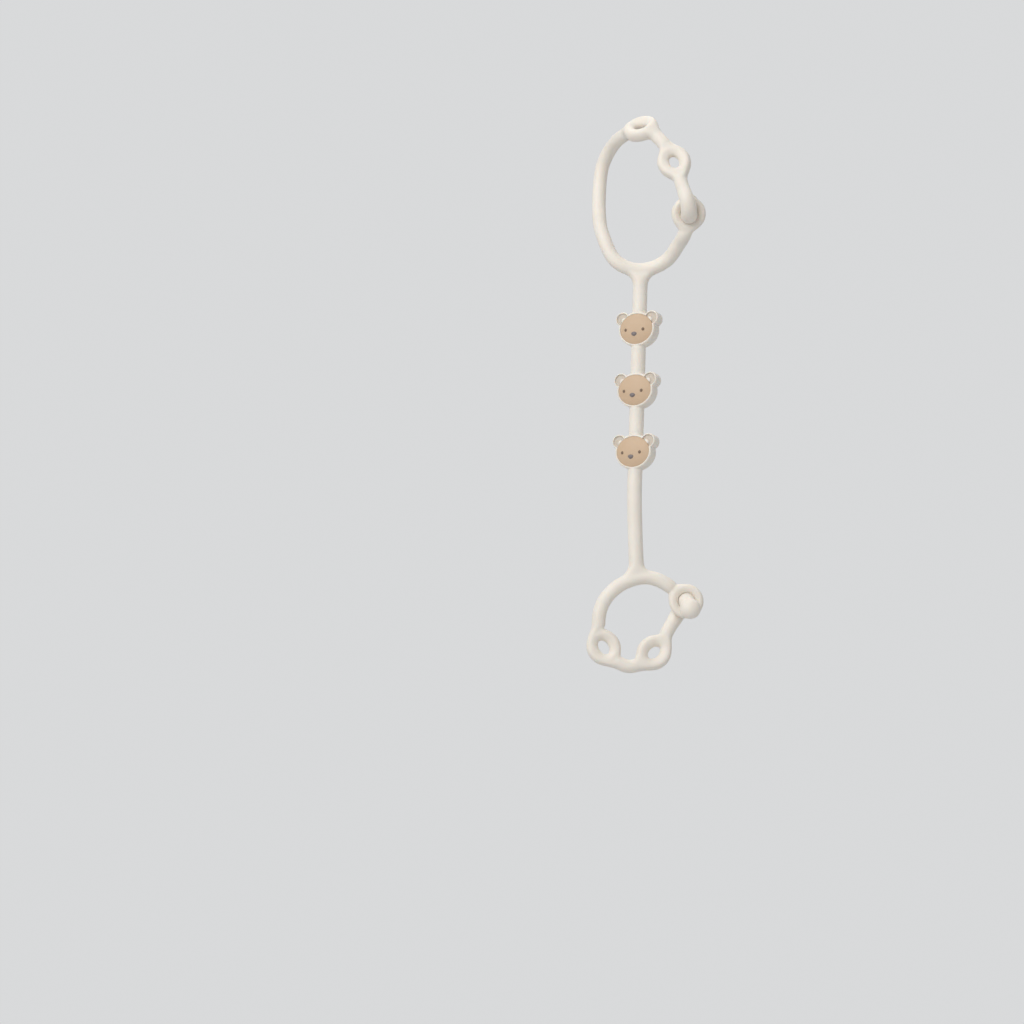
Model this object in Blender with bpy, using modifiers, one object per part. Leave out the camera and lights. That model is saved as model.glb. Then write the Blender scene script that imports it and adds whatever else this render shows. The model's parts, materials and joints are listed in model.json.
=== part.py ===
"""Silicone toy strap: a buttoned loop at each end of a cord stem that carries three bear heads.

The strap hangs from a round bar inside its upper loop. The origin is on the bar's axis, straight above
the stem. +Z is up, +X is to the right and -Y is the front, where the bears face. Units are metres.

The strap is one soft moulding with coloured inlays. Its cord is cut here into firm lengths and flexing
lengths, because it bends everywhere: each flexing length lies on a bending axis, and the firm pieces on
both sides of it turn about that axis.
"""

import math

import bmesh
import bpy
from mathutils import Matrix, Vector

# Cord
STEM_DIAMETER = 0.0088
ARM_DIAMETER = 0.0084
LINK_DIAMETER = 0.0081
SEAM_GAP = 0.0003
CORD_STEP = 0.0030
END_STEP = 0.0004
CORD_SIDE_RESOLUTION = 5
SECTION_SIDES = 20
SAMPLES_PER_SPAN = 24
WELD_DISTANCE = SEAM_GAP / 30
SMOOTH_ANGLE = math.radians(40.0)
RIM_ANGLE = math.radians(50.0)

# Upper loop, which hangs round a bar of about 35 mm
UPPER_WIDTH = 0.0530
UPPER_DEPTH = 0.0500
UPPER_DROP = 0.0613

# Stem and bears
STEM_STUB_LENGTH = 0.0100
FIRST_BEAR_DROP = 0.0982
BEAR_PITCH = 0.0375
BEAR_COUNT = 3
STEM_TAIL_LENGTH = 0.0757
STEM_SIDE_DRIFT = 0.0028
COLLAR_LENGTH = 0.0036
LOWER_FLEX_LENGTH = 0.0100
LOWER_STUB_LENGTH = 0.0118

# Lower loop
LOWER_WIDTH = 0.0520
LOWER_DEPTH = 0.0160
LOWER_HEIGHT = 0.0531

# Flare where the stem meets a loop. Its foot's half depth is a share of the arm's diameter.
FLARE_HALF_WIDTH = 0.0102
FLARE_HEIGHT = 0.00899
FLARE_FOOT_DEPTH_SHARE = 0.45

# Eyelets and button rings
EYELET_WIDTH = 0.0198
EYELET_HOLE_WIDTH = 0.0064
EYELET_STRETCH = 0.0010
EYELET_THICKNESS = 0.0078
EYELET_REACH = 0.0126
RING_WIDTH = 0.0204
RING_HOLE_WIDTH = 0.0104
RING_THICKNESS = 0.0064
RING_REACH = 0.0170
TORUS_TURNS = 24
TORUS_SIDES = 10

# Neck of an eyelet or ring: its root as a share of the rim's wall and of the cord, then its half width and
# half thickness at the rim, and its swelling outside it, as shares of the cord's radius
NECK_ROOT_SHARE = 0.80
NECK_RIM_WIDTH_SHARE = 1.16
NECK_RIM_THICKNESS_SHARE = 0.95
NECK_SWELL_SHARE = 1.04

# Button tips
BALL_DIAMETER = 0.0123
SHANK_DIAMETER = 0.0070
FLEX_LINK_LENGTH = 0.0070
FLEX_ARM_LENGTH = 0.0120
BALL_SEGMENTS = 22
BALL_RINGS = 12

# Bear heads
BEAR_YAW = math.radians(26.0)
HEAD_WIDTH = 0.0234
HEAD_HEIGHT = 0.0212
HEAD_THICKNESS = 0.0090
HEAD_EDGE_RADIUS = 0.0009
HEAD_STUB_LENGTH = 0.0016
EAR_DIAMETER = 0.0090
EAR_SPACING = 0.0188
EAR_RISE = 0.0064
EAR_RECESS_DIAMETER = 0.0062
EAR_RECESS_DEPTH = 0.0007
FACE_WIDTH = 0.0210
FACE_HEIGHT = 0.0186
FACE_THICKNESS = 0.0011
FACE_DOME = 0.0018
FACE_RECESS = 0.0003
FACE_CLEARANCE = 0.0003
FACE_EDGE_RADIUS = 0.0003
EYE_DIAMETER = 0.0018
EYE_SPACING = 0.0112
EYE_DROP = 0.0007
NOSE_WIDTH = 0.0034
NOSE_HEIGHT = 0.0025
NOSE_DROP = 0.0032
FEATURE_SHIFT = 0.0007
FEATURE_THICKNESS = 0.0009
FEATURE_PROUD = 0.0001
FEATURE_CLEARANCE = 0.0003
OVERRUN = 0.0020
HEAD_SIDES = 44
EAR_SIDES = 24
FEATURE_SIDES = 16
FACE_DOME_STEPS = 4
RIM_SEGMENTS = 2

# Places along the upper loop, from the button ring round to the ball, as shares of half the loop's
# width, half its depth and its whole drop below the bar's axis.
UPPER_RING_SHARE = (1.012, -1.000, -0.512)
UPPER_EYELET_SHARES = ((-0.096, -0.560, 0.375), (0.653, -1.080, -0.011))
UPPER_ARM_SHARES = ((0.952, -0.880, -0.692), (0.821, -0.540, -0.778), (0.560, -0.180, -0.915))
UPPER_TAIL_SHARES = (
    (-0.553, 0.060, -0.915),
    (-0.888, 0.240, -0.627),
    (-0.955, 0.440, -0.481),
    (-0.981, 0.760, -0.220),
    (-0.925, 0.860, 0.131),
    (-0.755, 0.580, 0.285),
    (-0.515, 0.000, 0.351),
)
UPPER_LINK_SHARE = (0.328, -0.880, 0.238)
UPPER_TIP_SHARES = (
    (0.842, -1.300, -0.270),
    (0.962, -1.460, -0.448),
    (1.013, -1.260, -0.548),
    (1.018, -1.000, -0.524),
    (1.019, -0.760, -0.478),
    (1.019, -0.540, -0.361),
)

# Places along the lower loop, from the button ring round to the ball, as shares of its width, depth and
# height from the point where the stem meets it.
LOWER_RING_SHARE = (0.571, 0.000, -0.244)
LOWER_EYELET_SHARES = ((-0.358, 0.060, -0.793), (0.219, 0.190, -0.829))
LOWER_ARM_SHARES = ((0.335, 0.000, -0.056), (0.150, 0.000, 0.010))
LOWER_TAIL_SHARES = (
    (-0.225, 0.000, -0.109),
    (-0.381, 0.000, -0.296),
    (-0.425, 0.000, -0.512),
)
LOWER_LINK_SHARE = (-0.063, 0.100, -1.000)
LOWER_TIP_SHARES = (
    (0.404, 0.344, -0.516),
    (0.502, 0.500, -0.350),
    (0.563, 0.325, -0.243),
    (0.575, 0.000, -0.246),
    (0.592, -0.313, -0.286),
    (0.610, -0.594, -0.350),
)

# Directions that the flat sides of the eyelets and rings face, before they are squared to the cord
UPPER_RING_FACING = Vector((0.06, -0.99, -0.12))
UPPER_EYELET_FACINGS = (Vector((-0.12, -0.90, 0.55)), Vector((-0.10, -0.97, 0.10)))
LOWER_FACING = Vector((0.0, -1.0, 0.0))

# How the stem's lower length drifts to the side: share of its length, and share of the drift
STEM_DRIFT_SHARES = ((0.35, 0.0), (0.68, 0.42), (1.0, 1.0))

# How the stem swells into a loop: height and half width, each as a share of the flare's own
FLARE_SHARES = ((1.0, 0.0), (0.66, 0.10), (0.42, 0.32), (0.20, 0.68), (0.0, 1.0))

CREAM = ("cream_silicone", (0.84, 0.80, 0.71, 1.0), 0.45)
BEIGE = ("beige_silicone", (0.67, 0.48, 0.33, 1.0), 0.50)
NOSE_GREY = ("nose_grey", (0.16, 0.14, 0.15, 1.0), 0.50)
EYE_BROWN = ("eye_brown", (0.14, 0.10, 0.08, 1.0), 0.50)


def clear_scene():
    """Remove every object that the file starts with."""
    for obj in list(bpy.data.objects):
        bpy.data.objects.remove(obj, do_unlink=True)


def new_collection(name):
    """Add a collection under the scene."""
    collection = bpy.data.collections.new(name)
    bpy.context.scene.collection.children.link(collection)
    return collection


def new_material(name, finish):
    """Make one piece's own material from a finish: its name, colour and roughness."""
    label, colour, roughness = finish
    material = bpy.data.materials.new(f"{name}_{label}")
    material.use_nodes = True
    shader = material.node_tree.nodes["Principled BSDF"]
    shader.inputs["Base Color"].default_value = colour
    shader.inputs["Roughness"].default_value = roughness
    shader.inputs["Metallic"].default_value = 0.0
    return material


def catmull_rom(points):
    """Sample the centripetal curve that runs smoothly through the points."""
    padded = [points[0] * 2 - points[1], *points, points[-1] * 2 - points[-2]]
    samples = []
    for a, b, c, d in zip(padded, padded[1:], padded[2:], padded[3:]):
        t1 = math.sqrt((b - a).length)
        t2 = t1 + math.sqrt((c - b).length)
        t3 = t2 + math.sqrt((d - c).length)
        for step in range(SAMPLES_PER_SPAN):
            t = t1 + (t2 - t1) * step / SAMPLES_PER_SPAN
            ab = a.lerp(b, t / t1)
            bc = b.lerp(c, (t - t1) / (t2 - t1))
            cd = c.lerp(d, (t - t2) / (t3 - t2))
            abc = ab.lerp(bc, t / t2)
            bcd = bc.lerp(cd, (t - t1) / (t3 - t1))
            samples.append(abc.lerp(bcd, (t - t1) / (t2 - t1)))
    samples.append(points[-1].copy())
    return samples


class Route:
    """A smooth centreline through a list of points, measured along its own length."""

    def __init__(self, points):
        self.samples = catmull_rom(points)
        self.lengths = [0.0]
        for first, second in zip(self.samples, self.samples[1:]):
            self.lengths.append(self.lengths[-1] + (second - first).length)

    def station(self, index):
        """Length from the start to one of the points that the route was made from."""
        return self.lengths[index * SAMPLES_PER_SPAN]

    def at(self, length):
        """Point at a length from the start."""
        for i in range(1, len(self.lengths)):
            if self.lengths[i] >= length:
                share = (length - self.lengths[i - 1]) / (self.lengths[i] - self.lengths[i - 1])
                return self.samples[i - 1].lerp(self.samples[i], share)
        return self.samples[-1].copy()

    def direction(self, length):
        """Unit vector along the route at a length from the start."""
        return (self.at(length + END_STEP) - self.at(length - END_STEP)).normalized()

    def stations(self, start, end):
        """Lengths at which a tube from start to end has a ring, with short steps at both ends."""
        steps = max(1, round((end - start - 2 * END_STEP) / CORD_STEP))
        inner = [
            start + END_STEP + (end - start - 2 * END_STEP) * i / steps for i in range(steps + 1)
        ]
        return [start, *inner, end]


def as_mesh_object(source, collection):
    """Replace an object by the mesh that it evaluates to, with its ends welded."""
    graph = bpy.context.evaluated_depsgraph_get()
    mesh = bpy.data.meshes.new_from_object(source.evaluated_get(graph), depsgraph=graph)
    name = source.name
    world = source.matrix_world.copy()
    bpy.data.objects.remove(source, do_unlink=True)
    welder = bmesh.new()
    welder.from_mesh(mesh)
    bmesh.ops.remove_doubles(welder, verts=welder.verts, dist=WELD_DISTANCE)
    welder.to_mesh(mesh)
    welder.free()
    result = bpy.data.objects.new(name, mesh)
    result.matrix_world = world
    collection.objects.link(result)
    return result


def tube(name, collection, route, start, end, diameters):
    """A round cord along part of a route. Its diameter runs evenly from the first value to the last."""
    stations = route.stations(start, end)
    curve = bpy.data.curves.new(name, "CURVE")
    curve.dimensions = "3D"
    curve.use_fill_caps = True
    curve.bevel_mode = "ROUND"
    curve.bevel_depth = diameters[0] / 2
    curve.bevel_resolution = CORD_SIDE_RESOLUTION
    spline = curve.splines.new("POLY")
    spline.points.add(len(stations) - 1)
    for point, length in zip(spline.points, stations):
        share = (length - start) / (end - start)
        point.co = (*route.at(length), 1.0)
        point.radius = 1.0 + (diameters[-1] / diameters[0] - 1.0) * share
    obj = bpy.data.objects.new(name, curve)
    collection.objects.link(obj)
    return obj


def sweep(name, collection, route, sections, facing):
    """A loft of ovals along a route: each section is a length, a half width and a half thickness."""
    shape = bmesh.new()
    rings = []
    for length, half_width, half_thickness in sections:
        along = route.direction(length)
        side = along.cross(facing).normalized()
        out = side.cross(along).normalized()
        ring = []
        for i in range(SECTION_SIDES):
            angle = 2 * math.pi * i / SECTION_SIDES
            offset = side * (half_width * math.cos(angle)) + out * (half_thickness * math.sin(angle))
            ring.append(shape.verts.new(route.at(length) + offset))
        rings.append(ring)
    for lower, upper in zip(rings, rings[1:]):
        for i in range(SECTION_SIDES):
            j = (i + 1) % SECTION_SIDES
            shape.faces.new((lower[i], lower[j], upper[j], upper[i]))
    shape.faces.new(rings[0])
    shape.faces.new(rings[-1])
    bmesh.ops.recalc_face_normals(shape, faces=shape.faces)
    mesh = bpy.data.meshes.new(name)
    shape.to_mesh(mesh)
    shape.free()
    obj = bpy.data.objects.new(name, mesh)
    collection.objects.link(obj)
    return obj


def join_shape(obj, other, operation="UNION"):
    """Join or cut obj with another object by an exact Boolean modifier."""
    modifier = obj.modifiers.new(f"{operation.lower()}_{other.name}", "BOOLEAN")
    modifier.operation = operation
    modifier.solver = "EXACT"
    modifier.object = other
    return obj


def as_cutter(obj):
    """Hide a helper shape, which only shapes its piece."""
    obj.hide_render = True
    obj.display_type = "WIRE"
    return obj


def torus(name, collection, centre, axes, width, hole_width, thickness, stretch):
    """A flat-sided ring with rounded walls, a little longer along the cord than across it."""
    major = (width + hole_width) / 4
    minor = (width - hole_width) / 4
    bpy.ops.mesh.primitive_torus_add(
        major_radius=major,
        minor_radius=minor,
        major_segments=TORUS_TURNS,
        minor_segments=TORUS_SIDES,
    )
    obj = bpy.context.object
    obj.name = name
    for vertex in obj.data.vertices:
        radius = math.hypot(vertex.co.x, vertex.co.y)
        vertex.co.x += stretch * vertex.co.x / radius
        vertex.co.z *= thickness / 2 / minor
    along, across, out = axes
    frame = Matrix((along, across, out)).transposed().to_4x4()
    obj.data.transform(Matrix.Translation(centre) @ frame)
    for owner in list(obj.users_collection):
        owner.objects.unlink(obj)
    collection.objects.link(obj)
    return obj


def eyelet_axes(along, facing):
    """Unit vectors along the cord, across it, and out of the eyelet's flat side."""
    out = (facing - along * facing.dot(along)).normalized()
    return along, out.cross(along), out


def neck_sections(centre_length, reach, sign, width, root_diameter, cord_diameter):
    """Sections of the neck that runs from inside an eyelet's rim out to its seam."""
    rim = width / 2
    radius = cord_diameter / 2
    root = centre_length + sign * (rim - root_diameter / 2)
    seam = centre_length + sign * reach
    swell = centre_length + sign * (rim + (reach - rim) / 3)
    return [
        (root, root_diameter * NECK_ROOT_SHARE, radius * NECK_ROOT_SHARE),
        (
            centre_length + sign * rim,
            radius * NECK_RIM_WIDTH_SHARE,
            radius * NECK_RIM_THICKNESS_SHARE,
        ),
        (swell, radius * NECK_SWELL_SHARE, radius),
        (seam - sign * END_STEP, radius, radius),
        (seam, radius, radius),
    ]


class Strap:
    """Builds the strap's pieces and groups them under the axes that they turn about."""

    def __init__(self):
        self.parts = new_collection("toy_strap")
        self.cutters = new_collection("toy_strap_cutters")
        self.pivots = {}

    def pivot(self, name, place):
        """Add an empty on a bending axis, which the pieces beyond that axis hang from."""
        empty = bpy.data.objects.new(f"pivot_{name}", None)
        empty.empty_display_size = STEM_DIAMETER
        empty.location = place
        self.parts.objects.link(empty)
        self.pivots[name] = empty
        return empty

    def place(self, obj, finish, pivot=None):
        """Give a finished piece its material, its smooth shading and the pivot that it turns about."""
        obj.data.materials.clear()
        obj.data.materials.append(new_material(obj.name, finish))
        if obj.type == "MESH":
            obj.data.shade_smooth()
            obj.data.set_sharp_from_angle(angle=SMOOTH_ANGLE)
        if pivot:
            bpy.context.view_layer.update()
            obj.parent = self.pivots[pivot]
            obj.matrix_parent_inverse = self.pivots[pivot].matrix_world.inverted()
        return obj

    def eyelet(self, name, route, index, facing, ends):
        """An eyelet with a neck on each side that ends asks for: -1 is back along the route, +1 on."""
        length = route.station(index)
        axes = eyelet_axes(route.direction(length), facing)
        ring = torus(
            name,
            self.parts,
            route.at(length),
            axes,
            EYELET_WIDTH,
            EYELET_HOLE_WIDTH,
            EYELET_THICKNESS,
            EYELET_STRETCH,
        )
        root = (EYELET_WIDTH - EYELET_HOLE_WIDTH) / 2
        for sign, cord in ends:
            sections = neck_sections(length, EYELET_REACH, sign, EYELET_WIDTH, root, cord)
            neck = sweep(f"{name}_neck{sign:+d}", self.cutters, route, sections, axes[2])
            join_shape(ring, as_cutter(neck))
        return ring

    def button_ring(self, name, route, facing):
        """The ring that the ball is pushed through, with its neck along the arm."""
        start = route.station(0)
        along = route.direction(END_STEP)
        axes = eyelet_axes(along, facing)
        ring = torus(
            name,
            self.parts,
            route.at(start),
            axes,
            RING_WIDTH,
            RING_HOLE_WIDTH,
            RING_THICKNESS,
            0.0,
        )
        root = (RING_WIDTH - RING_HOLE_WIDTH) / 2
        sections = neck_sections(start, RING_REACH, 1, RING_WIDTH, root, ARM_DIAMETER)
        neck = sweep(f"{name}_neck", self.cutters, route, sections, axes[2])
        return join_shape(ring, as_cutter(neck))

    def tip(self, name, route, start):
        """The end of the tail: a shank that narrows through the ring's hole, and the ball on it."""
        end = route.lengths[-1]
        shank = tube(name, self.parts, route, start, end, (LINK_DIAMETER, SHANK_DIAMETER))
        shank = as_mesh_object(shank, self.parts)
        bpy.ops.mesh.primitive_uv_sphere_add(
            segments=BALL_SEGMENTS,
            ring_count=BALL_RINGS,
            radius=BALL_DIAMETER / 2,
            location=route.at(end),
        )
        ball = bpy.context.object
        ball.name = f"{name}_ball"
        for owner in list(ball.users_collection):
            owner.objects.unlink(ball)
        self.cutters.objects.link(ball)
        return join_shape(shank, as_cutter(ball))

    def yoke(self, name, loop, start, end, stem, stem_start, stem_end):
        """The bow of a loop with the flare and stub of the stem that meets it."""
        bow = tube(name, self.parts, loop, start, end, (ARM_DIAMETER,))
        bow = as_mesh_object(bow, self.parts)
        sign = 1 if stem_end > stem_start else -1
        sections = []
        radius = STEM_DIAMETER / 2
        for height, width in reversed(FLARE_SHARES):
            spread = radius + (FLARE_HALF_WIDTH - radius) * width
            depth = radius - (radius - ARM_DIAMETER * FLARE_FOOT_DEPTH_SHARE) * width
            sections.append((stem_start + sign * FLARE_HEIGHT * height, spread, depth))
        sections.append((stem_end - sign * END_STEP, radius, radius))
        sections.append((stem_end, radius, radius))
        stub = sweep(f"{name}_stub", self.cutters, stem, sections, LOWER_FACING)
        return join_shape(bow, as_cutter(stub))


def from_shares(shares, scale, origin):
    """A point given as shares of a loop's sizes."""
    return origin + Vector([share * size for share, size in zip(shares, scale)])


def upper_route():
    """Centreline of the upper loop, and the indexes of its two eyelets and the stem's junction."""
    scale = (UPPER_WIDTH / 2, UPPER_DEPTH / 2, UPPER_DROP)
    origin = Vector((0.0, 0.0, 0.0))
    shares = [
        UPPER_RING_SHARE,
        *UPPER_ARM_SHARES,
        (0.0, 0.0, -1.0),
        *UPPER_TAIL_SHARES,
        UPPER_EYELET_SHARES[0],
        UPPER_LINK_SHARE,
        UPPER_EYELET_SHARES[1],
        *UPPER_TIP_SHARES,
    ]
    junction = 1 + len(UPPER_ARM_SHARES)
    first = junction + 1 + len(UPPER_TAIL_SHARES)
    places = [from_shares(share, scale, origin) for share in shares]
    return Route(places), junction, (first, first + 2)


def stem_route():
    """Centreline of the stem, from the upper junction to the lower one."""
    last_bear = FIRST_BEAR_DROP + BEAR_PITCH * (BEAR_COUNT - 1)
    drops = [UPPER_DROP, (UPPER_DROP + FIRST_BEAR_DROP) / 2]
    drops += [FIRST_BEAR_DROP + BEAR_PITCH * i for i in range(BEAR_COUNT)]
    points = [Vector((0.0, 0.0, -drop)) for drop in drops]
    for share, drift in STEM_DRIFT_SHARES:
        drop = last_bear + STEM_TAIL_LENGTH * share
        points.append(Vector((STEM_SIDE_DRIFT * drift, 0.0, -drop)))
    return Route(points)


def lower_route(junction):
    """Centreline of the lower loop, and the indexes of its two eyelets and the stem's junction."""
    scale = (LOWER_WIDTH, LOWER_DEPTH, LOWER_HEIGHT)
    shares = [
        LOWER_RING_SHARE,
        *LOWER_ARM_SHARES,
        (0.0, 0.0, 0.0),
        *LOWER_TAIL_SHARES,
        LOWER_EYELET_SHARES[0],
        LOWER_LINK_SHARE,
        LOWER_EYELET_SHARES[1],
        *LOWER_TIP_SHARES,
    ]
    places = [from_shares(share, scale, junction) for share in shares]
    crossing = 1 + len(LOWER_ARM_SHARES)
    first = crossing + 1 + len(LOWER_TAIL_SHARES)
    return Route(places), crossing, (first, first + 2)


def build_tail(strap, side, route, first_flex, eyelets, facings, inner_pivot):
    """The flexing arm, the eyelets and links of one tail, and its ball tip."""
    inner, outer = (route.station(index) for index in eyelets)
    inner_seam = inner - EYELET_REACH - SEAM_GAP
    arm_end = first_flex + FLEX_ARM_LENGTH
    has_arm = inner_seam - arm_end > FLEX_ARM_LENGTH
    if not has_arm:
        arm_end = inner_seam
    strap.pivot(inner_pivot, route.at((first_flex + arm_end) / 2))
    flex = tube(f"{side}_arm_flex", strap.parts, route, first_flex, arm_end, (ARM_DIAMETER,))
    strap.place(flex, CREAM, inner_pivot)

    if has_arm:
        arm = tube(
            f"{side}_arm",
            strap.parts,
            route,
            arm_end + SEAM_GAP,
            inner_seam,
            (ARM_DIAMETER, LINK_DIAMETER),
        )
        strap.place(arm, CREAM, inner_pivot)
    name = f"{side}_inner_eyelet"
    ends = ((-1, LINK_DIAMETER), (1, LINK_DIAMETER))
    strap.place(strap.eyelet(name, route, eyelets[0], facings[0], ends), CREAM, inner_pivot)

    start = inner + EYELET_REACH + SEAM_GAP
    end = outer - EYELET_REACH - SEAM_GAP
    pivot = f"{side}_outer_eyelet"
    strap.pivot(pivot, route.at((start + end) / 2))
    link = tube(f"{side}_inner_link", strap.parts, route, start, end, (LINK_DIAMETER,))
    strap.place(link, CREAM, pivot)
    strap.place(strap.eyelet(pivot, route, eyelets[1], facings[1], ends), CREAM, pivot)

    start = outer + EYELET_REACH + SEAM_GAP
    end = start + FLEX_LINK_LENGTH
    pivot = f"{side}_tip"
    strap.pivot(pivot, route.at((start + end) / 2))
    link = tube(f"{side}_outer_link", strap.parts, route, start, end, (LINK_DIAMETER,))
    strap.place(link, CREAM, pivot)
    strap.place(strap.tip(pivot, route, end + SEAM_GAP), CREAM, pivot)


def disc(name, collection, width, height, thickness, sides, centre):
    """An oval disc that stands upright, with its flat sides to the front and the back."""
    bpy.ops.mesh.primitive_cylinder_add(vertices=sides, radius=width / 2, depth=thickness)
    obj = bpy.context.object
    obj.name = name
    upright = Matrix.Rotation(math.pi / 2, 4, "X")
    flatten = Matrix.Diagonal((1.0, height / width, 1.0, 1.0))
    obj.data.transform(Matrix.Translation(centre) @ upright @ flatten)
    for owner in list(obj.users_collection):
        owner.objects.unlink(obj)
    collection.objects.link(obj)
    return obj


def domed_disc(name, collection, width, height, thickness, dome, centre):
    """An oval disc with a flat back and a front that swells towards its middle."""
    radius = width / 2
    profile = [(0.0, thickness + dome)]
    for step in range(1, FACE_DOME_STEPS):
        share = step / FACE_DOME_STEPS
        profile.append((radius * share, thickness + dome * (1 - share * share)))
    profile += [
        (radius - FACE_EDGE_RADIUS, thickness),
        (radius, thickness - FACE_EDGE_RADIUS),
        (radius, 0.0),
        (0.0, 0.0),
    ]
    mesh = bpy.data.meshes.new(name)
    points = [(x, 0.0, z) for x, z in profile]
    mesh.from_pydata(points, [(i, i + 1) for i in range(len(points) - 1)], [])
    outline = bpy.data.objects.new(name, mesh)
    collection.objects.link(outline)
    turn = outline.modifiers.new("turned", "SCREW")
    turn.axis = "Z"
    turn.steps = HEAD_SIDES
    turn.render_steps = HEAD_SIDES
    turn.use_merge_vertices = True
    turn.merge_threshold = WELD_DISTANCE
    obj = as_mesh_object(outline, collection)
    upright = Matrix.Rotation(math.pi / 2, 4, "X")
    flatten = Matrix.Diagonal((1.0, height / width, 1.0, 1.0))
    obj.data.transform(Matrix.Translation(centre) @ upright @ flatten)
    return obj


def soften(obj, width):
    """Round the sharp rims of a disc."""
    bevel = obj.modifiers.new("rounded_rims", "BEVEL")
    bevel.width = width
    bevel.segments = RIM_SEGMENTS
    bevel.limit_method = "ANGLE"
    bevel.angle_limit = RIM_ANGLE
    return obj


def build_bear(strap, number, centre, pivot):
    """One bear head with its face, nose and eyes, turned about the stem."""
    name = f"bear_{number}"
    turn = Matrix.Translation(centre) @ Matrix.Rotation(-BEAR_YAW, 4, "Z")
    front = -HEAD_THICKNESS / 2
    face_back = front + FACE_RECESS + FACE_THICKNESS
    face_front = front + FACE_RECESS
    helpers = []
    pieces = []

    head = disc(
        f"{name}_head", strap.parts, HEAD_WIDTH, HEAD_HEIGHT, HEAD_THICKNESS, HEAD_SIDES, Vector()
    )
    soften(head, HEAD_EDGE_RADIUS)
    pieces.append((head, CREAM))
    for sign in (-1, 1):
        place = Vector((sign * EAR_SPACING / 2, 0.0, EAR_RISE))
        ear_thickness = HEAD_THICKNESS - HEAD_EDGE_RADIUS / 3
        ear = disc(
            f"{name}_ear{sign:+d}",
            strap.cutters,
            EAR_DIAMETER,
            EAR_DIAMETER,
            ear_thickness,
            EAR_SIDES,
            place,
        )
        soften(ear, HEAD_EDGE_RADIUS)
        join_shape(head, as_cutter(ear))
        helpers.append(ear)
    half_height = HEAD_HEIGHT / 2 + HEAD_STUB_LENGTH
    bpy.ops.mesh.primitive_cylinder_add(
        vertices=SECTION_SIDES, radius=STEM_DIAMETER / 2, depth=2 * half_height
    )
    stub = bpy.context.object
    stub.name = f"{name}_stub"
    for owner in list(stub.users_collection):
        owner.objects.unlink(stub)
    strap.cutters.objects.link(stub)
    join_shape(head, as_cutter(stub))
    helpers.append(stub)
    for sign in (-1, 1):
        depth = EAR_RECESS_DEPTH + OVERRUN
        place = Vector((sign * EAR_SPACING / 2, front + EAR_RECESS_DEPTH - depth / 2, EAR_RISE))
        hollow = disc(
            f"{name}_ear_hollow{sign:+d}",
            strap.cutters,
            EAR_RECESS_DIAMETER,
            EAR_RECESS_DIAMETER,
            depth,
            EAR_SIDES,
            place,
        )
        join_shape(head, as_cutter(hollow), "DIFFERENCE")
        helpers.append(hollow)
    pocket_back = face_back + FACE_CLEARANCE
    depth = pocket_back - front + OVERRUN
    pocket = disc(
        f"{name}_pocket",
        strap.cutters,
        FACE_WIDTH + 2 * FACE_CLEARANCE,
        FACE_HEIGHT + 2 * FACE_CLEARANCE,
        depth,
        HEAD_SIDES,
        Vector((0.0, pocket_back - depth / 2, 0.0)),
    )
    join_shape(head, as_cutter(pocket), "DIFFERENCE")
    helpers.append(pocket)

    back = Vector((0.0, face_back, 0.0))
    face = domed_disc(
        f"{name}_face", strap.parts, FACE_WIDTH, FACE_HEIGHT, FACE_THICKNESS, FACE_DOME, back
    )
    pieces.append((face, BEIGE))

    features = (
        ("eye_left", EYE_DIAMETER, EYE_DIAMETER, -EYE_SPACING / 2, -EYE_DROP, EYE_BROWN),
        ("eye_right", EYE_DIAMETER, EYE_DIAMETER, EYE_SPACING / 2, -EYE_DROP, EYE_BROWN),
        ("nose", NOSE_WIDTH, NOSE_HEIGHT, 0.0, -NOSE_DROP, NOSE_GREY),
    )
    for label, width, height, side, z, finish in features:
        x = side - FEATURE_SHIFT
        share = math.hypot(x / FACE_WIDTH, z / FACE_HEIGHT) * 2
        back = face_front - FACE_DOME * (1 - share * share) - FEATURE_PROUD + FEATURE_THICKNESS
        piece = disc(
            f"{name}_{label}",
            strap.parts,
            width,
            height,
            FEATURE_THICKNESS,
            FEATURE_SIDES,
            Vector((x, back - FEATURE_THICKNESS / 2, z)),
        )
        pieces.append((piece, finish))
        socket_depth = FEATURE_THICKNESS + FEATURE_CLEARANCE + OVERRUN
        socket = disc(
            f"{name}_{label}_socket",
            strap.cutters,
            width + 2 * FEATURE_CLEARANCE,
            height + 2 * FEATURE_CLEARANCE,
            socket_depth,
            FEATURE_SIDES,
            Vector((x, back + FEATURE_CLEARANCE - socket_depth / 2, z)),
        )
        join_shape(face, as_cutter(socket), "DIFFERENCE")
        helpers.append(socket)
    for obj in [piece for piece, _ in pieces] + helpers:
        obj.matrix_world = turn
    for piece, finish in pieces:
        strap.place(piece, finish, pivot)


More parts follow.
